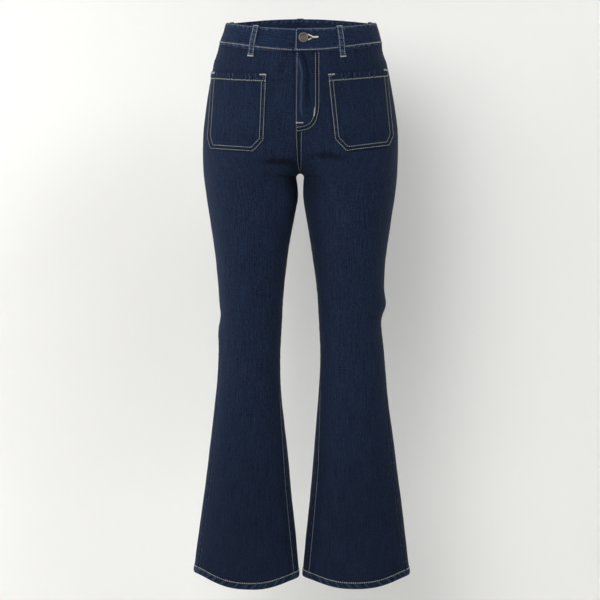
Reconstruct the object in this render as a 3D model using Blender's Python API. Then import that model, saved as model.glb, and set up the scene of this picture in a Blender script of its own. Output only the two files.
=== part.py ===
"""Bootcut jeans with front patch pockets, held in the form they take when worn.

Metres, +Z up. The front faces -Y and the wearer's left is at +X. The origin is the centre of the waist
opening, half way up the waistband. "Drop" is a distance below the origin, and a "turn" is an angle round
half the garment: 0 at the inseam, 90 degrees at the front, 180 at the side and 270 at the back.
Every piece of cloth is a closed wall between an outer layer and an inner one.
"""

import math

import bmesh
import bpy
import numpy as np

MM = 0.001
LEFT, RIGHT = 1, -1
SIDES = {LEFT: "left", RIGHT: "right"}

# Driving dimensions, in millimetres
DENIM = 1.2             # one layer of denim
SEAM_GAP = 0.3          # clearance where two pieces meet
LAID_GAP = 0.6          # clearance under a piece that lies on another
BAND_HEIGHT = 39.0
BAND_WALL = 2.6
BAND_PROUD = 0.8        # how far the waistband stands out from the panels
WAIST_FRONT_DIP = 13.0  # the waist is lower at the centre front than at the sides
WAIST_BACK_RISE = 12.0  # and higher at the centre back
CROTCH_DROP = 241.0
CROTCH_RISE = 110.0     # height over which the two legs merge into the seat
CROTCH_ROUND = 1.2
ARCH_HEIGHT = 8.0       # rounding of the arch between the legs
BACK_HEM_SWEEP = 8.0    # the hem dips between its two seams
HEM_SWEEP_START = 750.0 # the rows above the hem dip too, from here down
YOKE_SIDE_DROP = 52.0
YOKE_BACK_DROP = 82.0
SEAT_HOLLOW = 5.0       # hollow along the centre back seam
SEAT_HOLLOW_WIDTH = 30.0
SEAT_HOLLOW_DROP = 200.0
SEAT_HOLLOW_LENGTH = 70.0
BAND_LAP = 8.8          # how far the waistband's left end passes the middle
BAND_UNDERLAP = 25.0    # how far its right end runs on beneath
BAND_LAP_GAP = 0.6
BAND_SINK = 34.0        # length over which the right end passes under
BAND_SUNK = 5.0         # and how far it is fully beneath before the lap
LOOP_WIDTH = 12.0
LOOP_WALL = 1.8
POCKET_WALL = 1.3
POCKET_HEM_WALL = 2.0   # the mouth of a pocket is folded double
POCKET_HEM = 12.5
POCKET_STEP = 0.7       # length over which the wall steps down below the folded mouth
BUTTON_REACH = 5.0      # place of the button on the front
BUTTON_DROP = 9.8
SHANK_RADIUS = 2.2
EYE_RADIUS = 2.8        # the round end of the buttonhole
HOLE_LENGTH = 15.0
HOLE_WIDTH = 1.0
HOLE_START = 2.0        # how far in front of the waistband the buttonhole's cut starts
FLY_TOP = 33.8
ZIP_REACH = 4.0         # middle of the zip
ZIP_WIDTH = 30.0
ZIP_DROP = 158.0
TEETH_WIDTH = 5.0
TEETH_TOP = 47.0
SLIDER_TOP = 36.5
SLIDER_WIDTH = 8.0
TAB_TOP = 46.0
TAB_WIDTH = 4.4
TAB_END = 64.0
SHIELD_DROP = 164.0
SHIELD_REACHES = (-14.0, 27.0)
LAYER_STEP = 0.05       # length over which a layer behind the front steps in depth

# Half widths of the outline seen from the front, by drop
OUTLINE = {
    "columns": ("drop", "left", "right"),
    "rows": (
        (-24, 129.0, 127.0),
        (-2, 136.0, 133.2),
        (16, 140.5, 139.8),
        (34, 143.8, 144.6),
        (48, 149.2, 149.8),
        (61, 152.3, 152.3),
        (96, 159.2, 159.1),
        (130, 165.2, 164.5),
        (165, 169.8, 168.8),
        (200, 170.4, 170.2),
        (235, 169.3, 169.4),
        (270, 166.2, 165.5),
        (331, 157.6, 156.9),
        (401, 148.8, 147.6),
        (437, 147.1, 144.6),
        (472, 148.4, 142.4),
        (490, 145.3, 141.7),
        (507, 143.4, 142.7),
        (543, 145.7, 143.2),
        (578, 148.4, 144.8),
        (650, 155.9, 151.5),
        (740, 168.2, 162.9),
        (848, 182.3, 177.2),
        (975, 198.5, 194.0),
    ),
}

# Distance of the inner edge of each leg from the middle of the garment, by drop
INNER = {
    "columns": ("drop", "left", "right"),
    "rows": (
        (249, 6.6, 7.6),
        (260, 5.6, 5.8),
        (284, 5.4, 4.7),
        (308, 8.8, 8.9),
        (331, 13.0, 13.1),
        (366, 19.3, 19.7),
        (401, 24.2, 24.9),
        (437, 28.3, 29.0),
        (507, 33.3, 33.1),
        (560, 34.8, 35.3),
        (614, 32.7, 34.8),
        (686, 27.5, 27.8),
        (794, 18.3, 16.7),
        (902, 8.9, 6.8),
        (975, 2.2, 1.0),
    ),
}

# Front, widest and back places of the side view, and how full the section is, by drop
DEPTH = {
    "columns": ("drop", "front", "middle", "back", "fullness"),
    "rows": (
        (-24, -97.0, -2, 95.0, 2.10),
        (0, -100.0, -2, 99.0, 2.10),
        (30, -103.5, -1, 107.0, 2.12),
        (96, -108.0, 2, 122.0, 2.15),
        (140, -107.5, 4, 129.5, 2.15),
        (180, -105.0, 6, 131.5, 2.15),
        (215, -102.0, 8, 126.5, 2.15),
        (250, -98.0, 7, 112.0, 2.15),
        (290, -94.5, 4, 98.5, 2.15),
        (340, -89.0, 0, 88.0, 2.15),
        (420, -79.0, -3, 75.0, 2.20),
        (510, -69.5, -5, 61.0, 2.20),
        (580, -65.0, -3, 59.5, 2.20),
        (650, -62.0, 0, 62.0, 2.25),
        (740, -60.0, 2, 63.5, 2.30),
        (850, -58.0, 3, 62.5, 2.35),
        (975, -57.0, 3, 62.0, 2.40),
    ),
}

# How far the side seam and the inseam turn towards the front, in degrees, by drop
SEAMS = {
    "columns": ("drop", "side", "inseam"),
    "rows": (
        (-24, 0, 0),
        (480, 0, 0),
        (560, 5, 4),
        (640, 18, 17),
        (740, 28, 26),
        (860, 28, 28),
        (975, 25, 25),
    ),
}

# Distance of the overlapping front edge to the right of the middle, by drop
FLY_EDGE = {
    "columns": ("drop", "edge"),
    "rows": (
        (-24, 8.0),
        (160, 8.0),
        (180, 7.4),
        (225, 4.5),
        (241, 0.0),
    ),
}

# Where the hem meets the side seam and the inseam, and how far its front dips between them
HEMS = {
    "columns": ("side", "side_drop", "inseam_drop", "front_sweep"),
    "rows": (
        (LEFT, 951.5, 955.0, 14.5),
        (RIGHT, 947.0, 956.5, 16.5),
    ),
}

# Corners of the patch pockets: distance from the middle and drop of the inner and the outer one, at the
# mouth, where the corners are cut off, and at the foot
POCKETS = {
    "columns": ("name", "side", "inner", "inner_drop", "outer", "outer_drop"),
    "rows": (
        ("front_pocket_left", LEFT, 45.5, 69.0, 148.5, 59.5),
        ("front_pocket_left", LEFT, 57.7, 180.5, 160.0, 173.5),
        ("front_pocket_left", LEFT, 77.5, 200.3, 152.0, 192.0),
        ("front_pocket_right", RIGHT, 56.5, 69.0, 152.4, 64.5),
        ("front_pocket_right", RIGHT, 61.8, 182.5, 160.4, 177.3),
        ("front_pocket_right", RIGHT, 80.3, 201.5, 153.8, 197.5),
        ("back_pocket_left", LEFT, 36.0, 104.0, 137.0, 92.0),
        ("back_pocket_left", LEFT, 42.0, 210.0, 147.0, 201.0),
        ("back_pocket_left", LEFT, 62.0, 231.0, 134.0, 224.0),
        ("back_pocket_right", RIGHT, 36.0, 104.0, 137.0, 92.0),
        ("back_pocket_right", RIGHT, 42.0, 210.0, 147.0, 201.0),
        ("back_pocket_right", RIGHT, 62.0, 231.0, 134.0, 224.0),
    ),
}

# Where the belt loops stand round the waist, in degrees from the centre front over the left side
LOOPS = {
    "belt_loop_front_left": 27.8,
    "belt_loop_side_left": 112.0,
    "belt_loop_back": 180.0,
    "belt_loop_side_right": 248.0,
    "belt_loop_front_right": 326.6,
}

# A belt loop seen from the side: height above the middle of the waistband, and distance from the panels
LOOP_SIDE = {
    "columns": ("height", "stand"),
    "rows": (
        (20.7, 1.3),
        (15.0, 1.9),
        (5.0, 2.5),
        (-8.0, 2.4),
        (-17.0, 1.7),
        (-23.0, 0.9),
        (-30.0, 0.6),
    ),
}

# The button turned about its own axis: radius, and height above the waistband
BUTTON_SIDE = {
    "columns": ("radius", "height"),
    "rows": (
        (0.0, 3.0),
        (2.6, 3.1),
        (4.6, 3.6),
        (6.6, 4.1),
        (7.9, 3.9),
        (8.7, 2.9),
        (8.4, 1.8),
        (6.0, 0.9),
        (3.2, 0.4),
    ),
}

# The zip and the fly shield, as layers behind the front: how deep each layer's face and back lie
DEPTHS = {
    "columns": ("layer", "face", "back"),
    "rows": (
        ("slider", 1.6, 3.8),
        ("tab", 1.6, 2.8),
        ("teeth", 3.2, 5.0),
        ("tape", 4.2, 5.0),
        ("shield", 5.4, 7.4),
    ),
}

# The largest folds: where each is centred, how long and wide it is, how far it stands in or out of the
# cloth, and how it slopes. Its length runs round the leg.
FOLDS = {
    "columns": ("side", "turn", "drop", "length", "width", "stand", "slope"),
    "rows": (
        (LEFT, 176, 470, 34, 15, 1.6, 0.25),
        (LEFT, 176, 498, 38, 12, -1.6, 0.25),
        (RIGHT, 178, 520, 40, 14, 1.4, -0.20),
        (RIGHT, 178, 488, 40, 14, -1.2, -0.20),
        (LEFT, 270, 520, 52, 15, -2.4, 0.18),
        (RIGHT, 268, 512, 50, 15, -2.4, 0.16),
        (LEFT, 262, 556, 46, 14, -1.8, 0.12),
        (RIGHT, 276, 550, 44, 14, -1.8, 0.15),
        (LEFT, 285, 268, 60, 16, -2.6, 0.22),
        (RIGHT, 287, 272, 58, 16, -2.4, 0.20),
    ),
}

# How many points the walls have across and along
FRONT_COLUMNS = 13
BACK_COLUMNS = 15
RISE_ROWS = 12          # from the waist seam to the crotch
YOKE_ROWS = 2           # of those, how many the yoke takes at the side
LEG_ROWS = 27           # from the crotch to the hem
ARCH_CLOSENESS = 0.85   # how much closer together the rows are at the arch between the legs
ARCH_ROWS = 2.2         # and over how many rows that wears off
BAND_COLUMNS = 84
POCKET_COLUMNS = 11
POCKET_ROWS = 7         # from below the folded mouth to the cut corners
BUTTON_SIDES = 24
EYE_SIDES = 16
SHIELD_COLUMNS = 8
SHIELD_ROWS = 12
ZIP_ROWS = 10
ROW_READS = 160         # points read along a row before they are spaced evenly
LAP_READS = 12          # along the part of a row that laps past the middle
CENTRE_READS = 400      # along a centre seam
WAIST_READS = 900       # round the waist
WAIST_ANGLES = (-0.4, 2 * math.pi + 0.6)    # angles between which it is read, in radians
RUN_STEP = 1.5          # how far ahead and behind the direction of a row is read
TURN_STEP = 0.01        # the same as a turn, in radians


def read(table, name, drop):
    """One column of a table, read at any drop from a smooth curve through its rows."""
    rows = np.array(table["rows"], dtype=float)
    places = rows[:, 0]
    values = rows[:, table["columns"].index(name)]
    slopes = np.gradient(values, places)
    drop = np.clip(drop, places[0], places[-1])
    row = np.clip(np.searchsorted(places, drop, side="right") - 1, 0, len(places) - 2)
    step = places[row + 1] - places[row]
    t = (drop - places[row]) / step
    start = (2 * t**3 - 3 * t**2 + 1) * values[row] + (t**3 - 2 * t**2 + t) * step * slopes[row]
    end = (3 * t**2 - 2 * t**3) * values[row + 1] + (t**3 - t**2) * step * slopes[row + 1]
    return start + end


def smooth_step(low, high, value):
    t = np.clip((value - low) / (high - low), 0, 1)
    return t * t * (3 - 2 * t)


def edges(side, drop):
    """Outer and inner edge of half the garment. Above the crotch the inner edge passes the middle."""
    outer = read(OUTLINE, SIDES[side], drop)
    arch = np.clip((CROTCH_DROP + ARCH_HEIGHT - drop) / ARCH_HEIGHT, 0, 1)
    below = read(INNER, SIDES[side], drop) * np.sqrt(1 - arch**2)
    rise = np.clip((CROTCH_DROP - drop) / CROTCH_RISE, 0, 1)
    above = -outer * rise**CROTCH_ROUND
    return outer, np.where(drop >= CROTCH_DROP, below, above)


def surface(side, drop, turn):
    """Points of the outer layer of half the garment, in millimetres."""
    drop, turn = np.broadcast_arrays(np.asarray(drop, dtype=float), turn)
    outer, inner = edges(side, drop)
    middle = read(DEPTH, "middle", drop)
    power = 2 / read(DEPTH, "fullness", drop)
    half = (outer - inner) / 2
    cosine, sine = np.cos(turn), np.sin(turn)
    depth = np.where(sine > 0, read(DEPTH, "front", drop), read(DEPTH, "back", drop)) - middle
    x = (outer + inner) / 2 - half * np.sign(cosine) * np.abs(cosine) ** power
    y = middle + depth * np.abs(sine) ** power
    hollow = np.exp(-((x / SEAT_HOLLOW_WIDTH) ** 2))
    hollow = hollow * np.exp(-(((drop - SEAT_HOLLOW_DROP) / SEAT_HOLLOW_LENGTH) ** 2))
    y = y - np.where(sine < 0, SEAT_HOLLOW * hollow * np.abs(sine), 0)
    for fold in FOLDS["rows"]:
        if fold[0] == side:
            stand = fold_height(fold, drop, turn, half)
            x = x - stand * cosine
            y = y - stand * sine
    return np.stack([side * x, y, -drop], axis=-1)


def fold_height(fold, drop, turn, half):
    """How far one fold stands out of the cloth."""
    place = dict(zip(FOLDS["columns"], fold))
    along = (turn - math.radians(place["turn"])) * half
    across = drop - place["drop"] - place["slope"] * along
    spread = (along / place["length"]) ** 2 + (across / place["width"]) ** 2
    return place["stand"] * np.exp(-spread)


def turn_at(side, drop, reach):
    """Turn at which the front of half the garment stands a given reach from the middle."""
    outer, inner = edges(side, drop)
    ratio = ((outer + inner) / 2 - reach) / ((outer - inner) / 2)
    ratio = np.clip(ratio, -1, 1)
    power = read(DEPTH, "fullness", drop) / 2
    return np.arccos(np.sign(ratio) * np.abs(ratio) ** power)


def seam_turn(name, drop):
    turn = np.radians(read(SEAMS, name, drop))
    return math.pi - turn if name == "side" else turn


def lengths(points):
    """Distance along a line of points, from its start."""
    steps = np.linalg.norm(np.diff(points, axis=0), axis=1)
    return np.concatenate([[0], np.cumsum(steps)])


def along_line(points, wanted):
    """Points at given distances along a line."""
    along = lengths(points)
    wanted = np.clip(wanted, 0, along[-1])
    return np.stack([np.interp(wanted, along, points[:, axis]) for axis in range(3)], axis=1)


def spaced(points, count):
    """Evenly spaced points along a line, half the seam gap clear of its ends, and the way it runs there."""
    reach = lengths(points)[-1]
    wanted = np.linspace(SEAM_GAP / 2, reach - SEAM_GAP / 2, count)
    run = along_line(points, wanted + RUN_STEP) - along_line(points, wanted - RUN_STEP)
    return along_line(points, wanted), run


def centre_drops(top, count, back):
    """Drops that space points evenly along the centre front or back seam, down to the crotch."""
    drop = CROTCH_DROP - (CROTCH_DROP - top) * np.linspace(1, 0, CENTRE_READS) ** 2
    turn = turn_at(LEFT, drop, 0)
    points = surface(LEFT, drop, 2 * math.pi - turn if back else turn)
    along = lengths(points)
    return np.interp(np.linspace(0, along[-1], count), along, drop)


def hem_place(side, name):
    for row in HEMS["rows"]:
        if row[0] == side:
            return row[HEMS["columns"].index(name)]
    raise KeyError(side)


def leg_drops(side):
    """Drops of the rows along the inseam, closer together at the arch between the legs."""
    hem = hem_place(side, "inseam_drop")
    step = np.arange(1, LEG_ROWS + 1)
    closeness = 1 - ARCH_CLOSENESS * np.exp(-(step - 1) / ARCH_ROWS)
    return CROTCH_DROP + (hem - CROTCH_DROP) * step / LEG_ROWS * closeness


def side_drops(side):
    """Drops of the rows along the side seam, with one at the yoke and one level with the crotch."""
    yoke = np.linspace(BAND_HEIGHT / 2 + SEAM_GAP, YOKE_SIDE_DROP, YOKE_ROWS + 1)
    rise = np.linspace(YOKE_SIDE_DROP, CROTCH_DROP, RISE_ROWS + 1 - YOKE_ROWS)
    leg = np.linspace(CROTCH_DROP, hem_place(side, "side_drop"), LEG_ROWS + 1)
    return np.concatenate([yoke[:-1], rise[:-1], leg])


def row_drops(side, end, seam, sweep, share, straight):
    """Drop along one row, from its centre end (share 0) to the side seam (share 1)."""
    blend = np.sin(share * math.pi / 2) ** 2 * (1 - straight) + share * straight
    swept = (seam - HEM_SWEEP_START) / (hem_place(side, "side_drop") - HEM_SWEEP_START)
    sweep = sweep * np.clip(swept, 0, 1) ** 2
    return end + (seam - end) * blend + sweep * np.sin(share * math.pi) ** 2


def front_panel(side):
    """Rows of the front, each from the fly edge or inseam to the side seam."""
    top = BAND_HEIGHT / 2 + SEAM_GAP + WAIST_FRONT_DIP
    ends = np.concatenate([centre_drops(top, RISE_ROWS + 1, False), leg_drops(side)])
    share = np.linspace(0, 1, ROW_READS)
    rows = []
    for end, seam in zip(ends, side_drops(side)):
        drop = row_drops(side, end, seam, hem_place(side, "front_sweep"), share, 0)
        edge = float(read(FLY_EDGE, "edge", end)) if end < CROTCH_DROP else 0.0
        start = float(turn_at(side, end, 0 if side == LEFT else edge))
        start = max(start, float(seam_turn("inseam", end)))
        turn = start + (seam_turn("side", seam) - start) * share
        line = surface(side, drop, turn)
        if side == LEFT and edge > 0:
            lap = surface(RIGHT, end, turn_at(RIGHT, end, np.linspace(edge, 0, LAP_READS)))
            line = np.concatenate([lap[:-1], line])
        rows.append(spaced(line, FRONT_COLUMNS))
    return panel(rows, side)


def back_line(side, end, seam, straight, count):
    """One row of the back, from the side seam to the centre back or inseam."""
    share = np.linspace(1, 0, ROW_READS)
    drop = row_drops(side, end, seam, BACK_HEM_SWEEP, share, straight)
    close = 2 * math.pi - float(turn_at(side, end, 0))
    if end >= CROTCH_DROP:
        close = 2 * math.pi + float(seam_turn("inseam", end))
    turn = close + (seam_turn("side", seam) - close) * share
    return spaced(surface(side, drop, turn), count)


def back_ends(side):
    """Drops of the rows along the centre back seam, the crotch and the inseam."""
    top = BAND_HEIGHT / 2 + SEAM_GAP - WAIST_BACK_RISE
    yoke = np.linspace(top, YOKE_BACK_DROP, YOKE_ROWS + 1)
    seat = centre_drops(YOKE_BACK_DROP, RISE_ROWS + 1 - YOKE_ROWS, True)
    return np.concatenate([yoke[:-1], seat, leg_drops(side)])


def back_panel(side):
    rows = []
    for row, (end, seam) in enumerate(zip(back_ends(side), side_drops(side))):
        if row == YOKE_ROWS:
            end, seam = end + SEAM_GAP, seam + SEAM_GAP
        if row >= YOKE_ROWS:
            straight = 1 if row <= RISE_ROWS else 0
            rows.append(back_line(side, end, seam, straight, BACK_COLUMNS))
    return panel(rows, side)


def yoke_panel(side):
    ends, seams = back_ends(side), side_drops(side)
    rows = []
    for row in range(YOKE_ROWS + 1):
        rows.append(back_line(side, ends[row], seams[row], row / YOKE_ROWS, BACK_COLUMNS))
    return panel(rows, side)


def panel(rows, side):
    """Points of a panel and the directions out of it, from rows that run from front to back."""
    grid = np.array([place for place, run in rows])
    across = np.array([run for place, run in rows])
    normal = np.cross(np.gradient(grid, axis=0), across) * side
    return grid, normal / np.linalg.norm(normal, axis=-1, keepdims=True)


def flat_ends(normal, rows, column):
    """Keep the ends of the walls at a centre seam in the plane of that seam."""
    normal[rows, column, 0] = 0
    length = np.linalg.norm(normal[rows, column], axis=-1, keepdims=True)
    normal[rows, column] = normal[rows, column] / length


def material(name, colour, roughness, metallic):
    finish = bpy.data.materials.new(name)
    finish.use_nodes = True
    shader = finish.node_tree.nodes["Principled BSDF"]
    shader.inputs["Base Color"].default_value = (*colour, 1)
    shader.inputs["Roughness"].default_value = roughness
    shader.inputs["Metallic"].default_value = metallic
    return finish


def finish_object(name, bm, finish):
    mesh = bpy.data.meshes.new(name)
    bmesh.ops.recalc_face_normals(bm, faces=bm.faces[:])
    bm.to_mesh(mesh)
    bm.free()
    mesh.shade_smooth()
    if finish:
        mesh.materials.append(finish)
    piece = bpy.data.objects.new(name, mesh)
    bpy.context.scene.collection.objects.link(piece)
    return piece


def cloth(name, outer, inner, finish):
    """A closed wall between two grids of points, in millimetres."""
    rows, columns = outer.shape[:2]
    bm = bmesh.new()
    bmesh.ops.create_grid(bm, x_segments=columns - 1, y_segments=rows - 1)
    cell = bm.verts.layers.int.new("cell")
    for index, vert in enumerate(bm.verts):
        vert[cell] = index
        vert.co = outer[index // columns, index % columns] * MM
    made = bmesh.ops.extrude_face_region(bm, geom=bm.faces[:])
    for vert in made["geom"]:
        if isinstance(vert, bmesh.types.BMVert):
            index = vert[cell]
            vert.co = inner[index // columns, index % columns] * MM
    return finish_object(name, bm, finish)


def make_panels(denim):
    for side, word in SIDES.items():
        rise = np.arange(RISE_ROWS + 1)
        front, normal = front_panel(side)
        flat_ends(normal, rise, 0)
        cloth(f"front_{word}", front, front - DENIM * normal, denim)
        yoke, normal = yoke_panel(side)
        flat_ends(normal, np.arange(YOKE_ROWS + 1), -1)
        cloth(f"yoke_{word}", yoke, yoke - DENIM * normal, denim)
        back, normal = back_panel(side)
        flat_ends(normal, rise[:RISE_ROWS + 1 - YOKE_ROWS], -1)
        cloth(f"back_{word}", back, back - DENIM * normal, denim)


def waist_drop(angle):
    """Drop of the middle of the waistband, by the angle round the waist from the centre front."""
    cosine = np.cos(angle)
    return np.where(cosine > 0, WAIST_FRONT_DIP, -WAIST_BACK_RISE) * cosine**2


def ring(angle, drop):
    """Points of the outer layer all round the hips, by the angle from the centre front."""
    angle = np.mod(angle, 2 * math.pi)
    turn = math.pi / 2 + np.where(angle <= math.pi, angle, 2 * math.pi - angle)
    left, right = surface(LEFT, drop, turn), surface(RIGHT, drop, turn)
    return np.where((angle <= math.pi)[..., None], left, right)


def waist_angles():
    """Distances round the waist and their angles, from before the centre front to past it again."""
    angle = np.linspace(*WAIST_ANGLES, WAIST_READS)
    along = lengths(ring(angle, waist_drop(angle)))
    return along - np.interp(0, angle, along), angle


def belt_line(around, height):
    """Points at a distance round the waist from the centre front and a height above the band's middle."""
    along, angle = waist_angles()
    angle = np.interp(around, along, angle)
    return ring(angle, waist_drop(angle) - height)


def belt_strip(around, heights):
    """Rows of points along the waist, one for each height, and the directions out of them."""
    rows = []
    for height in heights:
        run = belt_line(around + RUN_STEP, height) - belt_line(around - RUN_STEP, height)
        rows.append((belt_line(around, height), run))
    return panel(rows, LEFT)


def waist_length():
    along, angle = waist_angles()
    return float(np.interp(2 * math.pi, angle, along))


def make_waistband(denim):
    """One strip round the waist. Its left end laps over its right end at the centre front."""
    length = waist_length()
    around = np.linspace(-BAND_LAP, length + BAND_UNDERLAP, BAND_COLUMNS)
    grid, normal = belt_strip(around, (BAND_HEIGHT / 2, 0, -BAND_HEIGHT / 2))
    under = length - BAND_LAP - BAND_SUNK
    sink = (BAND_WALL + BAND_LAP_GAP) * smooth_step(under - BAND_SINK, under, around)
    outer = grid + (BAND_PROUD - sink)[:, None] * normal
    band = cloth("waistband", outer, outer - BAND_WALL * normal, denim)
    hole = band.modifiers.new("buttonhole", "BOOLEAN")
    hole.operation = "DIFFERENCE"
    hole.solver = "EXACT"
    hole.object = buttonhole_cutter()


def front_point(reach, drop):
    """Point of the outer layer near the centre front, by its distance to the left of the middle."""
    side = LEFT if reach >= 0 else RIGHT
    return surface(side, drop, turn_at(side, drop, abs(reach)))


def button_frame():
    """Place of the button on the waistband, and the angles that the cloth leans back and turns there."""
    place = front_point(BUTTON_REACH, BUTTON_DROP)
    below = front_point(BUTTON_REACH, BUTTON_DROP + HOLE_LENGTH)
    beside = front_point(BUTTON_REACH + HOLE_LENGTH, BUTTON_DROP)
    lean = math.atan2(place[1] - below[1], place[2] - below[2])
    angle = math.atan2(beside[1] - place[1], beside[0] - place[0])
    return (place - [0, BAND_PROUD, 0]) * MM, lean, angle


def buttonhole_cutter():
    """A keyhole: a round eye at the button and a slit away from the band's end."""
    place, lean, angle = button_frame()
    bm = bmesh.new()
    half = math.asin(HOLE_WIDTH / 2 / EYE_RADIUS)
    corners = [(HOLE_LENGTH, HOLE_WIDTH / 2)]
    for turn in np.linspace(half, 2 * math.pi - half, EYE_SIDES + 1):
        corners.append((EYE_RADIUS * math.cos(turn), EYE_RADIUS * math.sin(turn)))
    corners.append((HOLE_LENGTH, -HOLE_WIDTH / 2))
    back = BAND_WALL + BAND_LAP_GAP / 2
    verts = [bm.verts.new((x * MM, -HOLE_START * MM, z * MM)) for x, z in corners]
    face = bm.faces.new(verts)
    made = bmesh.ops.extrude_face_region(bm, geom=[face])
    moved = [item for item in made["geom"] if isinstance(item, bmesh.types.BMVert)]
    bmesh.ops.translate(bm, verts=moved, vec=(0, (back + HOLE_START) * MM, 0))
    cutter = finish_object("buttonhole_cutter", bm, None)
    cutter.location = place
    cutter.rotation_euler = (-lean, 0, angle)
    cutter.hide_render = True
    cutter.display_type = "WIRE"
    return cutter


def make_button(metal):
    """A shank button, turned about its axis, with its shank through the eye of the buttonhole."""
    place, lean, angle = button_frame()
    shank_end = -(BAND_WALL + BAND_LAP_GAP - SEAM_GAP)
    profile = [*BUTTON_SIDE["rows"], (SHANK_RADIUS, SEAM_GAP), (SHANK_RADIUS, shank_end), (0, shank_end)]
    bm = bmesh.new()
    verts = [bm.verts.new((radius * MM, 0, height * MM)) for radius, height in profile]
    edges_made = [bm.edges.new(pair) for pair in zip(verts[:-1], verts[1:])]
    bmesh.ops.spin(
        bm, geom=verts + edges_made, cent=(0, 0, 0), axis=(0, 0, 1),
        angle=2 * math.pi, steps=BUTTON_SIDES, use_merge=True,
    )
    bmesh.ops.remove_doubles(bm, verts=bm.verts[:], dist=1e-6)
    button = finish_object("button", bm, metal)
    button.location = place
    button.rotation_euler = (math.pi / 2 - lean, 0, angle)


def make_loops(denim):
    heights = [row[0] for row in LOOP_SIDE["rows"]]
    stand = np.array([row[1] for row in LOOP_SIDE["rows"]])[:, None, None]
    along, angles = waist_angles()
    for name, degrees in LOOPS.items():
        middle = float(np.interp(math.radians(degrees), angles, along))
        across = np.linspace(middle - LOOP_WIDTH / 2, middle + LOOP_WIDTH / 2, 3)
        grid, normal = belt_strip(across, heights)
        inner = grid + stand * normal
        cloth(name, inner + LOOP_WALL * normal, inner, denim)


def pocket_grid(corners):
    """Rows of points of the outer layer under a pocket.

    A row's level is 0 at the mouth, 1 where the corners are cut off and 2 at the foot.
    """
    mouth, corner, foot = corners
    side = corners[0]["side"]
    is_back = corners[0]["name"].startswith("back")
    height = corner["inner_drop"] - mouth["inner_drop"]
    hem = POCKET_HEM / height
    levels = [0, hem, hem + POCKET_STEP / height, *np.linspace(hem, 1, POCKET_ROWS + 1)[1:], 1.5, 2]
    share = np.linspace(0, 1, POCKET_COLUMNS)
    rows = []
    for level in levels:
        upper, lower, part = (mouth, corner, level) if level <= 1 else (corner, foot, level - 1)
        ends = {key: upper[key] + (lower[key] - upper[key]) * part for key in list(mouth)[2:]}
        start = float(turn_at(side, ends["inner_drop"], ends["inner"]))
        end = float(turn_at(side, ends["outer_drop"], ends["outer"]))
        turn = start + (end - start) * share
        drop = ends["inner_drop"] + (ends["outer_drop"] - ends["inner_drop"]) * share
        step = TURN_STEP
        if is_back:
            turn = 2 * math.pi - turn
            step = -TURN_STEP
        run = surface(side, drop, turn + step) - surface(side, drop, turn - step)
        rows.append((surface(side, drop, turn), run))
    return panel(rows, -side if is_back else side)


def make_pockets(denim):
    rows = [dict(zip(POCKETS["columns"], row)) for row in POCKETS["rows"]]
    for first in range(0, len(rows), 3):
        corners = rows[first:first + 3]
        grid, normal = pocket_grid(corners)
        wall = np.full((len(grid), 1, 1), POCKET_WALL)
        wall[:2] = POCKET_HEM_WALL
        inner = grid + LAID_GAP * normal
        cloth(corners[0]["name"], inner + wall * normal, inner, denim)


def layer(name):
    """Depths of the face and the back of one layer behind the front."""
    for row in DEPTHS["rows"]:
        if row[0] == name:
            return row[1:]
    raise KeyError(name)


def strip_behind(name, reaches, drops, faces, backs, finish):
    """A closed strip behind the centre front, with the depths of its face and its back."""
    reaches, drops = np.broadcast_arrays(reaches, np.array(drops)[:, None])
    points = [[front_point(*place) for place in zip(*row)] for row in zip(reaches, drops)]
    face, rear = np.array(points), np.array(points)
    face[..., 1] += faces
    rear[..., 1] += backs
    return cloth(name, face, rear, finish)


def make_fly(denim, tape, metal):
    """The zip, closed, and the shield behind it."""
    reaches = np.linspace(*SHIELD_REACHES, SHIELD_COLUMNS)
    drops = np.linspace(FLY_TOP, SHIELD_DROP, SHIELD_ROWS)
    strip_behind("fly_shield", reaches, drops, *layer("shield"), denim)
    teeth, tape_face = layer("teeth")[0], layer("tape")[0]
    half, edge = TEETH_WIDTH / 2, ZIP_WIDTH / 2
    across = np.array([-edge, -half - LAYER_STEP, -half, 0, half, half + LAYER_STEP, edge])
    reaches = ZIP_REACH + across
    drops = [FLY_TOP, TEETH_TOP, TEETH_TOP + LAYER_STEP]
    drops.extend(np.linspace(TEETH_TOP, ZIP_DROP, ZIP_ROWS)[1:])
    is_tooth = (np.abs(across) <= half) & (np.array(drops)[:, None] > TEETH_TOP)
    faces = np.where(is_tooth, teeth, tape_face)
    strip_behind("zip_tape", reaches, drops, faces, layer("tape")[1], tape)
    slider, tab = layer("slider"), layer("tab")
    drops = [SLIDER_TOP, TAB_TOP, TAB_TOP + LAYER_STEP, (TAB_TOP + TAB_END) / 2, TAB_END]
    widths = np.array([SLIDER_WIDTH, SLIDER_WIDTH, TAB_WIDTH, TAB_WIDTH, TAB_WIDTH])[:, None]
    backs = np.array([slider[1], slider[1], tab[1], tab[1], tab[1]])[:, None]
    reaches = ZIP_REACH + widths * np.array([-0.5, 0, 0.5])
    strip_behind("zip_slider", reaches, drops, slider[0], backs, metal)


def main():
    for old in list(bpy.data.objects):
        bpy.data.objects.remove(old)
    denim = material("denim", (0.018, 0.032, 0.085), 0.85, 0)
    tape = material("zip_tape", (0.02, 0.03, 0.07), 0.8, 0)
    metal = material("aged_metal", (0.19, 0.18, 0.16), 0.42, 1)
    make_panels(denim)
    make_waistband(denim)
    make_loops(denim)
    make_pockets(denim)
    make_fly(denim, tape, metal)
    make_button(metal)


main()
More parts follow.
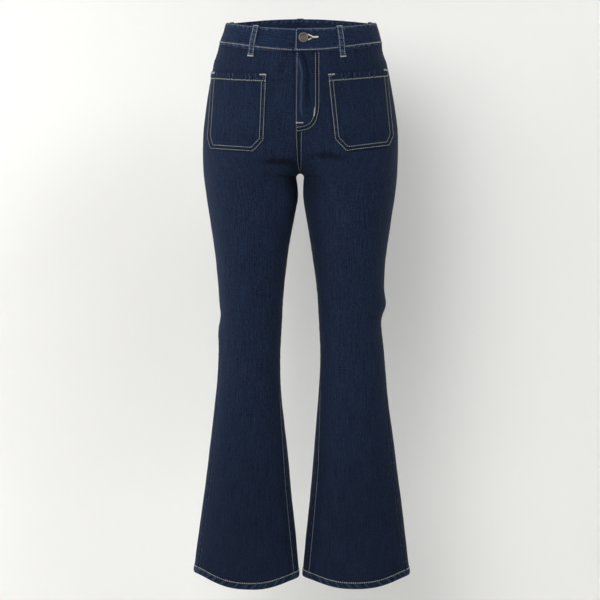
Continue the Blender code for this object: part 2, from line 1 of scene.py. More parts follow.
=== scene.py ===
"""Bootcut jeans with front patch pockets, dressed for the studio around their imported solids.

Tables and surfaces are in millimetres, +Z up, and the front faces -Y. The wearer's left is at +X. The origin
is the centre of the waist opening. "Drop" is a distance below it, and a "turn" is an angle round half the
garment: 0 at the inseam, 90 degrees at the front, 180 at the side and 270 at the back. Every piece of cloth
is one layer of points on the garment's surface, given its wall by a Solidify modifier.
"""

import functools
import math

import bmesh
import bpy
import numpy as np
from mathutils import Matrix, Vector
from mathutils.bvhtree import BVHTree


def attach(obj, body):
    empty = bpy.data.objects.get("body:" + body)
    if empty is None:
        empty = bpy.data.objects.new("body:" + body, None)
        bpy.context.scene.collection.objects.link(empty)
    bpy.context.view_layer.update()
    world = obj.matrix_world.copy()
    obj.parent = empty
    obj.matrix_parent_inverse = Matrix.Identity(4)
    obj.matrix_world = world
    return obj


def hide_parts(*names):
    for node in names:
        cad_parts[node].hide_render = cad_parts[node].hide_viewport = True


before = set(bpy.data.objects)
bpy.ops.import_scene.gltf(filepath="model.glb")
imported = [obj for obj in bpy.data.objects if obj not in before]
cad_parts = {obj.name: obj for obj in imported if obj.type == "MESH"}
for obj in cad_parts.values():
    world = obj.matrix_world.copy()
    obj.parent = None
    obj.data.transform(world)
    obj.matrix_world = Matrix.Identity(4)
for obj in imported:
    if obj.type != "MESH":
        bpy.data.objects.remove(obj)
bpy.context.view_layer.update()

bl_info = {
    "name": "Bootcut jeans",
    "version": (1, 0, 0),
    "blender": (4, 5, 0),
    "location": "3D View > Sidebar > Jeans",
    "description": "Cloth, stitching, button and studio for a pair of bootcut jeans",
    "category": "Object",
}

MM = 0.001
LEFT, RIGHT = 1, -1
SIDES = {LEFT: "left", RIGHT: "right"}


class Table:
    """Rows under named columns. Smooth curves can run through their numbers."""

    def __init__(self, columns, *rows):
        self.columns = columns
        self.rows = rows
        self.curves = {}

    def column(self, name):
        index = self.columns.index(name)
        return np.array([row[index] for row in self.rows], dtype=float)

    def named(self):
        return [dict(zip(self.columns, row)) for row in self.rows]

    def read(self, name, place):
        """A column at any place along the first one."""
        if name not in self.curves:
            places, values = self.column(self.columns[0]), self.column(name)
            self.curves[name] = places, values, np.gradient(values, places)
        places, values, slopes = self.curves[name]
        place = np.clip(place, places[0], places[-1])
        row = np.clip(np.searchsorted(places, place, side="right") - 1, 0, len(places) - 2)
        step = places[row + 1] - places[row]
        t = (place - places[row]) / step
        start = (2 * t**3 - 3 * t**2 + 1) * values[row] + (t**3 - 2 * t**2 + t) * step * slopes[row]
        end = (3 * t**2 - 2 * t**3) * values[row + 1] + (t**3 - t**2) * step * slopes[row + 1]
        return start + end


# ---- The garment's form, as in its solids ----

SEAM_GAP = 0.3
SEAM_LAP = 0.1
LAID_GAP = 0.6
BAND_HEIGHT = 39.0
BAND_WALL = 2.6
BAND_PROUD = 0.8
WAIST_FRONT_DIP = 13.0
WAIST_BACK_RISE = 12.0
CROTCH_DROP = 241.0
CROTCH_RISE = 110.0
CROTCH_ROUND = 1.2
ARCH_HEIGHT = 8.0
BACK_HEM_SWEEP = 8.0
HEM_SWEEP_START = 750.0
YOKE_SIDE_DROP = 52.0
YOKE_BACK_DROP = 82.0
SEAT_HOLLOW = 5.0
SEAT_HOLLOW_WIDTH = 30.0
SEAT_HOLLOW_DROP = 200.0
SEAT_HOLLOW_LENGTH = 70.0
BAND_LAP = 8.8
BAND_UNDERLAP = 25.0
BAND_LAP_GAP = 0.6
BAND_SINK = 34.0
BAND_SUNK = 5.0
LOOP_WIDTH = 12.0
LOOP_WALL = 1.8
LOOP_TAIL = 2.4
POCKET_WALL = 1.3
POCKET_HEM_WALL = 2.0
POCKET_HEM = 12.5
BUTTON_REACH = 5.0
BUTTON_DROP = 9.8
SHANK_RADIUS = 2.2
EYE_RADIUS = 2.8
HOLE_LENGTH = 15.0
HOLE_WIDTH = 1.0
FLY_TOP = 33.8
ZIP_REACH = 4.0
ZIP_WIDTH = 30.0
ZIP_DROP = 158.0
TEETH_TOP = 65.0
TOOTH_PITCH = 1.5
TOOTH_HALVES = (1.5, 0.55, 0.55)
TOOTH_REACH = 1.0
TOOTH_DEPTH = 3.7
SHIELD_DROP = 164.0
SHIELD_REACHES = (-14.0, 27.0)
RISE_ROWS = 12
YOKE_ROWS = 2
LEG_ROWS = 27
ARCH_CLOSENESS = 0.85
ARCH_ROWS = 2.2

OUTLINE = Table(
    ("drop", "left", "right"),
    (-24, 129.0, 127.0),
    (-2, 136.0, 133.2),
    (16, 140.5, 139.8),
    (34, 143.8, 144.6),
    (48, 149.2, 149.8),
    (61, 152.3, 152.3),
    (96, 159.2, 159.1),
    (130, 165.2, 164.5),
    (165, 169.8, 168.8),
    (200, 170.4, 170.2),
    (235, 169.3, 169.4),
    (270, 166.2, 165.5),
    (331, 157.6, 156.9),
    (401, 148.8, 147.6),
    (437, 147.1, 144.6),
    (472, 148.4, 142.4),
    (490, 145.3, 141.7),
    (507, 143.4, 142.7),
    (543, 145.7, 143.2),
    (578, 148.4, 144.8),
    (650, 155.9, 151.5),
    (740, 168.2, 162.9),
    (848, 182.3, 177.2),
    (975, 198.5, 194.0),
)

INNER = Table(
    ("drop", "left", "right"),
    (249, 6.6, 7.6),
    (260, 5.6, 5.8),
    (284, 5.4, 4.7),
    (308, 8.8, 8.9),
    (331, 13.0, 13.1),
    (366, 19.3, 19.7),
    (401, 24.2, 24.9),
    (437, 28.3, 29.0),
    (507, 33.3, 33.1),
    (560, 34.8, 35.3),
    (614, 32.7, 34.8),
    (686, 27.5, 27.8),
    (794, 18.3, 16.7),
    (902, 8.9, 6.8),
    (975, 2.2, 1.0),
)

DEPTH = Table(
    ("drop", "front", "middle", "back", "fullness"),
    (-24, -97.0, -2, 95.0, 2.10),
    (0, -100.0, -2, 99.0, 2.10),
    (30, -103.5, -1, 107.0, 2.12),
    (96, -108.0, 2, 122.0, 2.15),
    (140, -107.5, 4, 129.5, 2.15),
    (180, -105.0, 6, 131.5, 2.15),
    (215, -102.0, 8, 126.5, 2.15),
    (250, -98.0, 7, 112.0, 2.15),
    (290, -94.5, 4, 98.5, 2.15),
    (340, -89.0, 0, 88.0, 2.15),
    (420, -79.0, -3, 75.0, 2.20),
    (510, -69.5, -5, 61.0, 2.20),
    (580, -65.0, -3, 59.5, 2.20),
    (650, -62.0, 0, 62.0, 2.25),
    (740, -60.0, 2, 63.5, 2.30),
    (850, -58.0, 3, 62.5, 2.35),
    (975, -57.0, 3, 62.0, 2.40),
)

SEAMS = Table(
    ("drop", "side", "inseam"),
    (-24, 0, 0),
    (480, 0, 0),
    (560, 5, 4),
    (640, 18, 17),
    (740, 28, 26),
    (860, 28, 28),
    (975, 25, 25),
)

FLY_EDGE = Table(
    ("drop", "edge"),
    (-24, 8.0),
    (160, 8.0),
    (180, 7.4),
    (225, 4.5),
    (241, 0.0),
)

HEMS = {
    LEFT: {"side_drop": 951.5, "inseam_drop": 955.0, "front_sweep": 14.5},
    RIGHT: {"side_drop": 947.0, "inseam_drop": 956.5, "front_sweep": 16.5},
}

POCKETS = Table(
    ("name", "side", "inner", "inner_drop", "outer", "outer_drop"),
    ("front_pocket_left", LEFT, 45.5, 69.0, 148.5, 59.5),
    ("front_pocket_left", LEFT, 57.7, 180.5, 160.0, 173.5),
    ("front_pocket_left", LEFT, 77.5, 200.3, 152.0, 192.0),
    ("front_pocket_right", RIGHT, 56.5, 69.0, 152.4, 64.5),
    ("front_pocket_right", RIGHT, 61.8, 182.5, 160.4, 177.3),
    ("front_pocket_right", RIGHT, 80.3, 201.5, 153.8, 197.5),
    *(
        (f"back_pocket_{word}", side, *ends)
        for side, word in SIDES.items()
        for ends in ((36.0, 104.0, 137.0, 92.0), (42.0, 210.0, 147.0, 201.0), (62.0, 231.0, 134.0, 224.0))
    ),
)

# Belt loops, in degrees round the waist from the centre front
LOOPS = {
    "belt_loop_front_left": 27.8,
    "belt_loop_side_left": 112.0,
    "belt_loop_back": 180.0,
    "belt_loop_side_right": 248.0,
    "belt_loop_front_right": 326.6,
}

LOOP_SIDE = Table(
    ("height", "stand"),
    (-30.0, 0.6),
    (-23.0, 0.9),
    (-17.0, 1.7),
    (-8.0, 2.4),
    (5.0, 2.5),
    (15.0, 1.9),
    (20.7, 1.3),
)

# The button turned about its own axis: radius, height above the waistband, and how bright its own metal has
# rubbed
BUTTON_SIDE = Table(
    ("radius", "height", "wear_highlight_and_shade"),
    (0.0, 2.25, 0.0),
    (0.9, 2.35, 0.0),
    (1.3, 3.20, 0.8),
    (1.8, 3.30, 0.7),
    (2.2, 2.95, 0.3),
    (2.9, 2.95, 0.4),
    (3.3, 3.30, 0.7),
    (3.9, 3.40, 0.7),
    (4.3, 3.15, 0.2),
    (5.0, 3.15, 0.3),
    (5.4, 3.55, 0.5),
    (6.1, 3.80, 0.5),
    (7.0, 3.95, 0.6),
    (7.8, 3.85, 0.5),
    (8.4, 3.45, 0.4),
    (8.7, 2.85, 0.5),
    (8.65, 2.2, 0.3),
    (8.3, 1.75, 0.2),
    (6.0, 0.95, 0.1),
    (3.2, 0.45, 0.0),
    (2.2, 0.3, 0.0),
)

# The largest folds, as in the solids
FOLDS = Table(
    ("side", "turn", "drop", "length", "width", "stand", "slope"),
    (LEFT, 176, 470, 34, 15, 1.6, 0.25),
    (LEFT, 176, 498, 38, 12, -1.6, 0.25),
    (RIGHT, 178, 520, 40, 14, 1.4, -0.20),
    (RIGHT, 178, 488, 40, 14, -1.2, -0.20),
    (LEFT, 270, 520, 52, 15, -2.4, 0.18),
    (RIGHT, 268, 512, 50, 15, -2.4, 0.16),
    (LEFT, 262, 556, 46, 14, -1.8, 0.12),
    (RIGHT, 276, 550, 44, 14, -1.8, 0.15),
    (LEFT, 285, 268, 60, 16, -2.6, 0.22),
    (RIGHT, 287, 272, 58, 16, -2.4, 0.20),
)

# ---- What the cloth does over that form ----

# Soft creases: where each is centred, seen from the front or the back, half its length and width, how far it
# stands out of or sinks into the cloth, its slope in degrees, down and away from the middle, and how much
# its ends bend down
# The sunken parts of these creases also get painted shade in the cloth's colour
CREASES = Table(
    ("side", "face", "reach", "drop", "length", "width", "stand", "slope", "bend"),
    (RIGHT, "front", 32, 219, 40, 7.5, -2.4, -4, 2.0),
    (RIGHT, "front", 44, 207, 32, 7.0, 0.6, -8, 3.0),
    (RIGHT, "front", 34, 231, 30, 7.5, 0.4, -2, 1.0),
    (RIGHT, "front", 26, 204, 20, 5.0, -0.4, -24, 1.0),
    (RIGHT, "front", 52, 240, 26, 7.0, -0.5, 10, 2.0),
    (LEFT, "front", 47, 208, 38, 8.0, -2.1, 3, 2.0),
    (LEFT, "front", 50, 197, 30, 7.0, 0.45, 2, 2.0),
    (LEFT, "front", 38, 222, 32, 7.5, 0.4, 10, 1.0),
    (LEFT, "front", 22, 226, 18, 5.0, -0.4, 24, 1.0),
    (LEFT, "front", 58, 232, 24, 7.0, -0.5, 18, 2.0),
    (RIGHT, "front", 104, 404, 42, 12.0, 0.6, -8, 4.0),
    (LEFT, "front", 96, 436, 38, 11.0, 0.5, 8, 4.0),
    (LEFT, "front", 124, 486, 26, 7.0, -0.9, -14, 2.0),
    (LEFT, "front", 118, 474, 28, 7.5, 0.8, -12, 2.0),
    (RIGHT, "front", 122, 506, 30, 8.0, -0.6, 10, 2.0),
    (RIGHT, "front", 112, 526, 30, 9.0, 0.6, 8, 3.0),
    (RIGHT, "front", 88, 650, 36, 8.0, -0.7, -8, 4.0),
    (RIGHT, "front", 96, 664, 32, 8.5, 0.6, -6, 4.0),
    (LEFT, "front", 104, 668, 38, 8.5, -0.7, 9, 4.0),
    (LEFT, "front", 98, 684, 32, 9.0, 0.6, 7, 4.0),
    (LEFT, "back", 66, 262, 44, 6.5, -1.6, -9, 3.0),
    (RIGHT, "back", 70, 266, 42, 6.5, -1.5, -8, 3.0),
    (LEFT, "back", 58, 282, 36, 6.0, -1.0, -14, 2.0),
    (RIGHT, "back", 62, 288, 34, 6.0, -1.0, -13, 2.0),
    (LEFT, "back", 72, 274, 40, 6.0, 1.1, -11, 3.0),
    (RIGHT, "back", 74, 279, 38, 6.0, 1.0, -10, 3.0),
    (LEFT, "back", 88, 508, 36, 5.5, -1.7, 8, 3.0),
    (LEFT, "back", 96, 524, 34, 6.0, 1.2, 10, 3.0),
    (LEFT, "back", 84, 540, 36, 5.5, -1.5, 5, 3.0),
    (LEFT, "back", 92, 558, 32, 7.0, 1.0, 6, 3.0),
    (RIGHT, "back", 90, 500, 36, 5.5, -1.6, 9, 3.0),
    (RIGHT, "back", 84, 518, 34, 6.0, 1.2, 7, 3.0),
    (RIGHT, "back", 94, 536, 36, 5.5, -1.6, 8, 3.0),
    (RIGHT, "back", 86, 554, 32, 7.0, 1.0, 4, 3.0),
    (LEFT, "back", 92, 700, 40, 9.0, -0.8, 6, 4.0),
    (RIGHT, "back", 96, 712, 38, 9.0, -0.8, 5, 4.0),
)

# The soft folds down the fly: reach to the left of the middle, half the width, how far each stands out, and
# the drops where it starts and ends
# These folds are also painted: painted shade in their hollows, and paler ridges that are partly rubbed wear
# and partly painted highlight
FLY_FOLD = Table(
    ("reach", "width", "stand", "top", "foot"),
    (2.6, 3.6, 1.5, 34, 160),
    (13.0, 6.5, -1.3, 30, 140),
    (22.0, 5.0, 0.4, 40, 130),
)

# Lines of stitches on the fly, as reach to the left of the middle and drop
FLY_LINES = {
    "edge": ((-5.4, 34.4), (-6.2, 90), (-7.0, 150), (-6.9, 172), (-5.6, 200), (-3.4, 238)),
    "seam": ((1.9, 168), (1.6, 180), (1.3, 205), (0.9, 238)),
    "inner": (
        (25.4, 34.4), (25.4, 70), (25.4, 110), (25.2, 128), (24.0, 138), (21.4, 144.4), (17.0, 151.7),
        (10.6, 156.4), (1.5, 158.9), (-6.4, 160.2),
    ),
    "outer": (
        (31.0, 34.4), (31.0, 70), (31.0, 112), (30.6, 128), (28.6, 138.4), (25.3, 150), (19.6, 157.7),
        (8.4, 163.6), (1.0, 165.2), (-6.4, 165.8),
    ),
}

# The middle between the fly's rows of stitches
FLY_ROWS = (
    (28.2, 30), (28.2, 110), (27.9, 128), (26.3, 138), (23.3, 147), (18.3, 154.7), (9.5, 160), (1.2, 162),
    (-2.6, 170), (-2.4, 185), (-1.6, 210), (-1.4, 238),
)

# Bar tacks on the fly: both ends, as reach and drop
FLY_TACKS = (((24.3, 127.0), (22.8, 140.5)), ((-7.0, 152.2), (4.4, 152.2)))

# How finely the cloth is divided
FRONT_COLUMNS = 76
BACK_COLUMNS = 84
BODY_STEPS = 270
HEM_STEPS = 30
HEM_INDEX = 2
YOKE_STEPS = 22
BAND_COLUMNS = 440
BAND_ROWS = 17
LOOP_COLUMNS = 9
LOOP_STEPS = 34
POCKET_COLUMNS = 52
POCKET_STEPS = (9, 52, 14)
ROW_READS = 200
LAP_READS = 12
CENTRE_READS = 400
WAIST_READS = 900
WAIST_ANGLES = (-0.4, 2 * math.pi + 0.6)
RUN_STEP = 1.5
TURN_STEP = 0.01
STITCH_BATCH = 16

# Marks on the cloth for its finish: a distance that means none, in metres, how far from a seam the finish
# changes, in metres, and shifts that keep one piece's pattern from repeating another's
FAR = 1.0
SEAM_FADE = 0.005
BACK_PATTERN_SHIFT = 600
POCKET_PATTERN_SHIFT = 300

# How far the cloth is doubled beside a seam
SEAM_TURNING = 10

# Rows of stitches: distances from the edge of their piece, the heights between which the belt loops' rows run,
# and how far the lines that are laid on the loops stand out from the waist
ROWS = (1.8, 7.6)
ROWS_MIDDLE = sum(ROWS) / 2
INSEAM_GAPS = {LEFT: 3.4, RIGHT: 2.1}
BAND_FOOT_ROW = 2.6
BAND_TOP_ROW = 1.9
BAND_FOOT_RISE = 3.3
LOOP_ROW = 2.3
LOOP_ROW_HEIGHTS = (18.6, -28.8)
LOOP_ROW_STAND = 3.5

# Thickness of the heavier rows, as a share of the thread's
MEDIUM = 1.25
HEAVY = 1.9
FLY_WEIGHTS = {"edge": 0.85, "seam": 0.9, "inner": 1.05, "outer": 1.05}

# Bar tacks: how far inside an edge they start, how far they stand out from the waist, how far those of the
# pockets run along the mouth, and the heights of those of the belt loops with their share of the full width
LOOP_TACK_INSET = 0.9
LOOP_TACK_STAND = 3.0
POCKET_TACK_INSET = (0.8, 3.1)
POCKET_TACK_REACHES = (10.5, -7.0)
LOOP_TACKS = ((19.3, 0.6), (-31.2, 1.0))

# Widths of the small bar tacks and how far strands lie above the cloth, in metres
NARROW_TACK = 0.0021
WIDE_TACK = 0.0034
TACK_LIFT = 0.00022

# The studio, in metres
STAGE_HALF = 1.8
STAGE_FRONT = -2.4
FLOOR = -1.4
WALL_PLACE = 0.34
WALL_HEIGHT = 5.0
SWEEP = 0.2
SWEEP_POINTS = 13
ROOM = 14.0

# Small waves of the panels' edges: seeds at the inner and the top edge, then the pitch of the waves at the
# top, how far down they reach, and their share of the full height
EDGE_WAVES = {"front": (17, 23, 15, 10, 0.9), "back": (29, 33, 14, 9, 1.0), "yoke": (37, 43, 14, 9, 1.0)}

# The buttonhole's stitches: both ends, as reach and drop, and their width
EYELET_TACKS = (
    ((12.5, 4.6), (21.4, 8.5), NARROW_TACK),
    ((12.5, 13.8), (21.4, 9.8), NARROW_TACK),
    ((21.0, 9.2), (29.6, 8.6), WIDE_TACK),
)

# Where the random draws of each row of stitches start
SEEDS = {
    "hem": 3, "inseam": 5, "fly": 7, "yoke": 9, "back_seat": 11, "yoke_seat": 13, "pocket_edge": 15,
    "pocket_inner": 17, "pocket_mouth": 19, "band_foot": 21, "band_top": 23, "band_end": 25,
    "loop_first": 27, "loop_second": 28,
}

# Strips behind the front: ends of their reach, foot, columns and rows of points, how deep they lie, and wall
STRIPS = Table(
    ("node", "start", "end", "foot", "columns", "rows", "depth", "wall", "finish", "slot"),
    ("fly_shield", *SHIELD_REACHES, SHIELD_DROP, 22, 66, 5.4, 2.0, "denim_face", "denim"),
    (
        "zip_tape", ZIP_REACH - ZIP_WIDTH / 2, ZIP_REACH + ZIP_WIDTH / 2, ZIP_DROP, 17, 63, 4.2, 0.8,
        "zip_weave", "zip_tape",
    ),
)

# Area lights: where each stands, its size, power and colour
LIGHTS = (
    ("key_light", (-1.25, -2.75, 0.95), 2.2, 51, (1.0, 0.99, 0.97)),
    ("top_light", (-0.6, -3.0, 1.4), 2.0, 26, (1.0, 0.99, 0.97)),
    ("side_light", (-2.4, -0.35, 0.0), 1.2, 31, (1.0, 1.0, 1.0)),
    ("far_light", (1.9, -1.4, 1.4), 1.2, 30, (0.98, 0.99, 1.0)),
    ("back_light", (1.4, 2.6, 1.4), 2.0, 30, (1.0, 1.0, 1.0)),
)
LIGHTS_AIM = (0, 0, -0.45)
CAMERA_PLACE = (-0.0007, -3.2, -0.15)
CAMERA_AIM = (-0.0007, 0, -0.463)
CAMERA_LENS = 109.6


# ---- Sizes and colours that a user would change ----

def length_property(name, description, default):
    return bpy.props.FloatProperty(
        name=name, description=description, default=default, min=0, subtype="DISTANCE", unit="LENGTH"
    )


def colour_property(name, description, default):
    return bpy.props.FloatVectorProperty(
        name=name, description=description, default=default, size=3, min=0, max=1, subtype="COLOR"
    )


class JeansCloth(bpy.types.PropertyGroup):
    """Walls, hems and surface of the denim"""

    wall: length_property("Wall", "Thickness of one layer of denim", 0.0012)
    doubled: length_property("Doubled wall", "Thickness of the denim at hems and seams", 0.0026)
    hem: length_property("Hem", "Height of the leg hems up to their stitches", 0.0112)
    hem_proud: length_property("Hem proud", "How far the hem stands out from the leg", 0.0006)
    roping: length_property("Roping", "Height of the slanted waves along a hem", 0.0004)
    pucker: length_property("Pucker", "Height of the small waves beside a seam", 0.00035)
    roll: length_property("Roll", "How far an edge rolls in at its seam", 0.0009)
    unevenness: length_property("Unevenness", "Height of the broad soft waves of the cloth", 0.0008)
    creases: bpy.props.FloatProperty(
        name="Creases", description="Strength of the soft creases",
        default=1.0, min=0, max=3, subtype="FACTOR",
    )


class JeansThread(bpy.types.PropertyGroup):
    """Stitches"""

    pitch: length_property("Pitch", "Distance from one stitch to the next", 0.0038)
    length: length_property("Length", "Length of one stitch", 0.0023)
    thickness: length_property("Thickness", "Thickness of the sewing thread", 0.00120)
    tack_pitch: length_property("Tack pitch", "Distance between the strands of a bar tack", 0.00055)
    tack_height: length_property("Tack height", "Width of a bar tack", 0.0028)


class JeansFinish(bpy.types.PropertyGroup):
    """Colours"""

    indigo: colour_property("Indigo", "Colour of the denim", (0.0089, 0.0168, 0.0400))
    # Deep indigo is the dark end of the denim's tone: its slubs and speckle reach it, and so does painted
    # shade in hollows, creases and along rows of stitches
    deep: colour_property("Deep indigo", "Colour of the denim in its hollows", (0.0022, 0.0048, 0.0132))
    # The paler colour of rubbed edges, also laid on as a painted highlight on fold ridges and on the
    # waistband's rolled edges
    wear_highlight_and_shade: colour_property("Worn", "Colour of the denim where its edges have rubbed", (0.040, 0.066, 0.125))
    inside: colour_property("Inside", "Colour of the denim's pale weft side", (0.085, 0.110, 0.160))
    thread: colour_property("Thread", "Colour of the stitches", (0.360, 0.372, 0.345))
    tack: colour_property("Tack", "Colour of the bar tacks", (0.46, 0.455, 0.42))
    eyelet: colour_property("Eyelet", "Colour of the buttonhole's stitches", (0.95, 0.85, 0.68))
    metal: colour_property("Metal", "Colour of the button and the zip", (0.11, 0.105, 0.095))
    tape: colour_property("Tape", "Colour of the zip's tape", (0.02, 0.03, 0.07))
    backdrop: colour_property("Backdrop", "Colour of the floor and the backdrop", (0.90, 0.90, 0.885))


# ---- Curves, surfaces and rows of points ----

def smooth_step(low, high, value):
    t = np.clip((value - low) / (high - low), 0, 1)
    return t * t * (3 - 2 * t)


def bump(value, middle, width):
    return np.exp(-(((value - middle) / width) ** 2))


def edges(side, drop):
    """Outer and inner edge of half the garment. Above the crotch the inner edge passes the middle."""
    outer = OUTLINE.read(SIDES[side], drop)
    arch = np.clip((CROTCH_DROP + ARCH_HEIGHT - drop) / ARCH_HEIGHT, 0, 1)
    below = INNER.read(SIDES[side], drop) * np.sqrt(1 - arch**2)
    rise = np.clip((CROTCH_DROP - drop) / CROTCH_RISE, 0, 1)
    above = -outer * rise**CROTCH_ROUND
    return outer, np.where(drop >= CROTCH_DROP, below, above)


def surface(side, drop, turn):
    """Points of the outer layer of half the garment, before its creases."""
    drop, turn = np.broadcast_arrays(np.asarray(drop, dtype=float), turn)
    outer, inner = edges(side, drop)
    middle = DEPTH.read("middle", drop)
    power = 2 / DEPTH.read("fullness", drop)
    half = (outer - inner) / 2
    cosine, sine = np.cos(turn), np.sin(turn)
    depth = np.where(sine > 0, DEPTH.read("front", drop), DEPTH.read("back", drop)) - middle
    x = (outer + inner) / 2 - half * np.sign(cosine) * np.abs(cosine) ** power
    y = middle + depth * np.abs(sine) ** power
    hollow = bump(x, 0, SEAT_HOLLOW_WIDTH) * bump(drop, SEAT_HOLLOW_DROP, SEAT_HOLLOW_LENGTH)
    y = y - np.where(sine < 0, SEAT_HOLLOW * hollow * np.abs(sine), 0)
    for fold in FOLDS.named():
        if fold["side"] == side:
            along = (turn - math.radians(fold["turn"])) * half
            across = drop - fold["drop"] - fold["slope"] * along
            stand = fold["stand"] * bump(along, 0, fold["length"]) * bump(across, 0, fold["width"])
            x = x - stand * cosine
            y = y - stand * sine
    return np.stack([side * x, y, -drop], axis=-1)


def turn_at(side, drop, reach):
    """Turn at which the front of half the garment stands a given reach from the middle."""
    outer, inner = edges(side, drop)
    ratio = np.clip(((outer + inner) / 2 - reach) / ((outer - inner) / 2), -1, 1)
    power = DEPTH.read("fullness", drop) / 2
    return np.arccos(np.sign(ratio) * np.abs(ratio) ** power)


def seam_turn(name, drop):
    turn = np.radians(SEAMS.read(name, drop))
    return math.pi - turn if name == "side" else turn


def lengths(points):
    """Distance along a line of points, from its start."""
    steps = np.linalg.norm(np.diff(points, axis=0), axis=1)
    return np.concatenate([[0], np.cumsum(steps)])


def along_line(points, wanted):
    """Points at given distances along a line."""
    along = lengths(points)
    wanted = np.clip(wanted, 0, along[-1])
    return np.stack([np.interp(wanted, along, points[:, axis]) for axis in range(3)], axis=1)


def closer_at_ends(count):
    """Shares from 0 to 1 that stand closer together towards both ends."""
    place = np.linspace(-1, 1, count)
    return 0.5 + 0.5 * (0.6 * place + 0.4 * np.sin(place * math.pi / 2))


def row_lengths(grid):
    """Distance of every point from the start of its row."""
    steps = np.linalg.norm(np.diff(grid, axis=1), axis=2)
    return np.concatenate([np.zeros((len(grid), 1)), np.cumsum(steps, axis=1)], axis=1)


def column_lengths(grid):
    return row_lengths(grid.transpose(1, 0, 2)).T


def outward(grid, around=None):
    """Directions out of a grid of points whose rows run so that the cross product points outwards."""
    across = np.gradient(grid, axis=1) if around is None else around
    normal = np.cross(np.gradient(grid, axis=0), across)
    return normal / np.linalg.norm(normal, axis=-1, keepdims=True)


# ---- The cloth's own unevenness ----

def waves(points, span, seed):
    """Smooth unevenness between about -1 and 1, the same wherever two pieces share a point."""
    chance = np.random.default_rng(seed)
    total = np.zeros(points.shape[:-1])
    for _ in range(7):
        way = chance.normal(size=3)
        way = way / np.linalg.norm(way) * 2 * math.pi / (span * chance.uniform(0.7, 1.5))
        total += np.sin(points @ way + chance.uniform(0, 2 * math.pi))
    return total / 2.6


def uneven(along, pitch, seed):
    """Uneven waves along a line, between about -1 and 1."""
    chance = np.random.default_rng(seed)
    total = np.zeros_like(along)
    for share in (0.62, 0.8, 1.0, 1.31, 1.7):
        total += np.sin(2 * math.pi * along / (pitch * share) + chance.uniform(0, 2 * math.pi))
    return total / 2.4


def crease_height(side, face, reach, drop):
    total = np.zeros_like(drop)
    for crease in CREASES.named():
        if crease["side"] == side and crease["face"] == face:
            slope = math.radians(crease["slope"])
            east, south = reach - crease["reach"], drop - crease["drop"]
            along = east * math.cos(slope) + south * math.sin(slope)
            across = south * math.cos(slope) - east * math.sin(slope)
            across = across - crease["bend"] * (along / crease["length"]) ** 2
            spread = (along / crease["length"]) ** 2
            total += crease["stand"] * np.exp(-(spread**1.15)) * bump(across, 0, crease["width"])
    return total


def shared_relief(side, face, points, cloth):
    """Creases and broad waves, in millimetres, that a panel and the pocket on it have in common."""
    reach, drop = side * points[..., 0], -points[..., 2]
    broad = waves(points, 130, 3) * 0.75 + waves(points, 48, 5) * 0.25
    calm = 0.35 + 0.65 * smooth_step(200, 330, drop)
    return cloth.creases * crease_height(side, face, reach, drop) + cloth.unevenness / MM * broad * calm


# ---- Meshes ----

def shell(name, grid, marks, wall, finish, inside=None):
    """A sheet of cloth on a grid of points, with its pattern coordinates, its marks and its walls."""
    rows, columns = grid.shape[:2]
    bm = bmesh.new()
    bmesh.ops.create_grid(bm, x_segments=columns - 1, y_segments=rows - 1)
    mesh = bpy.data.meshes.new(name)
    bm.to_mesh(mesh)
    bm.free()
    mesh.vertices.foreach_set("co", (grid.reshape(-1, 3) * MM).ravel())
    corner = np.empty(len(mesh.loops), dtype=np.int32)
    mesh.loops.foreach_get("vertex_index", corner)
    flat = np.stack([marks["u"], marks["v"]], axis=-1).reshape(-1, 2) * MM
    mesh.uv_layers.new(name="cloth").data.foreach_set("uv", flat[corner].ravel())
    # The last mark holds rubbed wear, painted shade in hollows and creases, and painted highlights on fold
    # ridges and rolled edges
    for mark in ("side_gap", "end_gap", "row_gap", "wear_highlight_and_shade"):
        values = np.broadcast_to(marks.get(mark, FAR), grid.shape[:2]).astype(np.float32)
        mesh.attributes.new(mark, "FLOAT", "POINT").data.foreach_set("value", values.ravel())
    mesh.shade_smooth()
    mesh.materials.append(finish)
    mesh.materials.append(inside or finish)
    piece = bpy.data.objects.new(name, mesh)
    bpy.context.scene.collection.objects.link(piece)
    mesh.update()
    turned = outward(grid)[rows // 2, columns // 2]
    face = mesh.polygons[(rows // 2) * (columns - 1) + columns // 2]
    if face.normal.dot(Vector(turned)) * marks.get("facing", 1) < 0:
        mesh.flip_normals()
    wall = np.broadcast_to(wall, grid.shape[:2]).ravel()
    thickest = float(wall.max())
    group = piece.vertex_groups.new(name="wall")
    for index, share in enumerate(wall / thickest):
        group.add([index], float(share), "REPLACE")
    solid = piece.modifiers.new("wall", "SOLIDIFY")
    solid.thickness = thickest * MM
    solid.offset = -1
    solid.vertex_group = "wall"
    solid.material_offset = 1
    solid.use_quality_normals = True
    return piece


def settle(piece, slot, *nodes):
    """Ties a finished piece to the frame."""
    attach(piece, "root")
    if nodes:
        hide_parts(*nodes)


def make_cloth(node, grid, marks, wall, finishes, slot="denim", cutters=()):
    """A piece of cloth in the place of a solid, cut where cutters say and tied to the frame."""
    piece = shell(f"cloth_{node}", grid, marks, wall, *finishes)
    if cutters:
        cut_away(piece, cutters)
    settle(piece, slot, node)


# ---- Panels ----

def centre_drops(top, count, back):
    """Drops that space points evenly along the centre front or back seam, down to the crotch."""
    drop = CROTCH_DROP - (CROTCH_DROP - top) * np.linspace(1, 0, CENTRE_READS) ** 2
    turn = turn_at(LEFT, drop, 0)
    along = lengths(surface(LEFT, drop, 2 * math.pi - turn if back else turn))
    return np.interp(np.linspace(0, along[-1], count), along, drop)


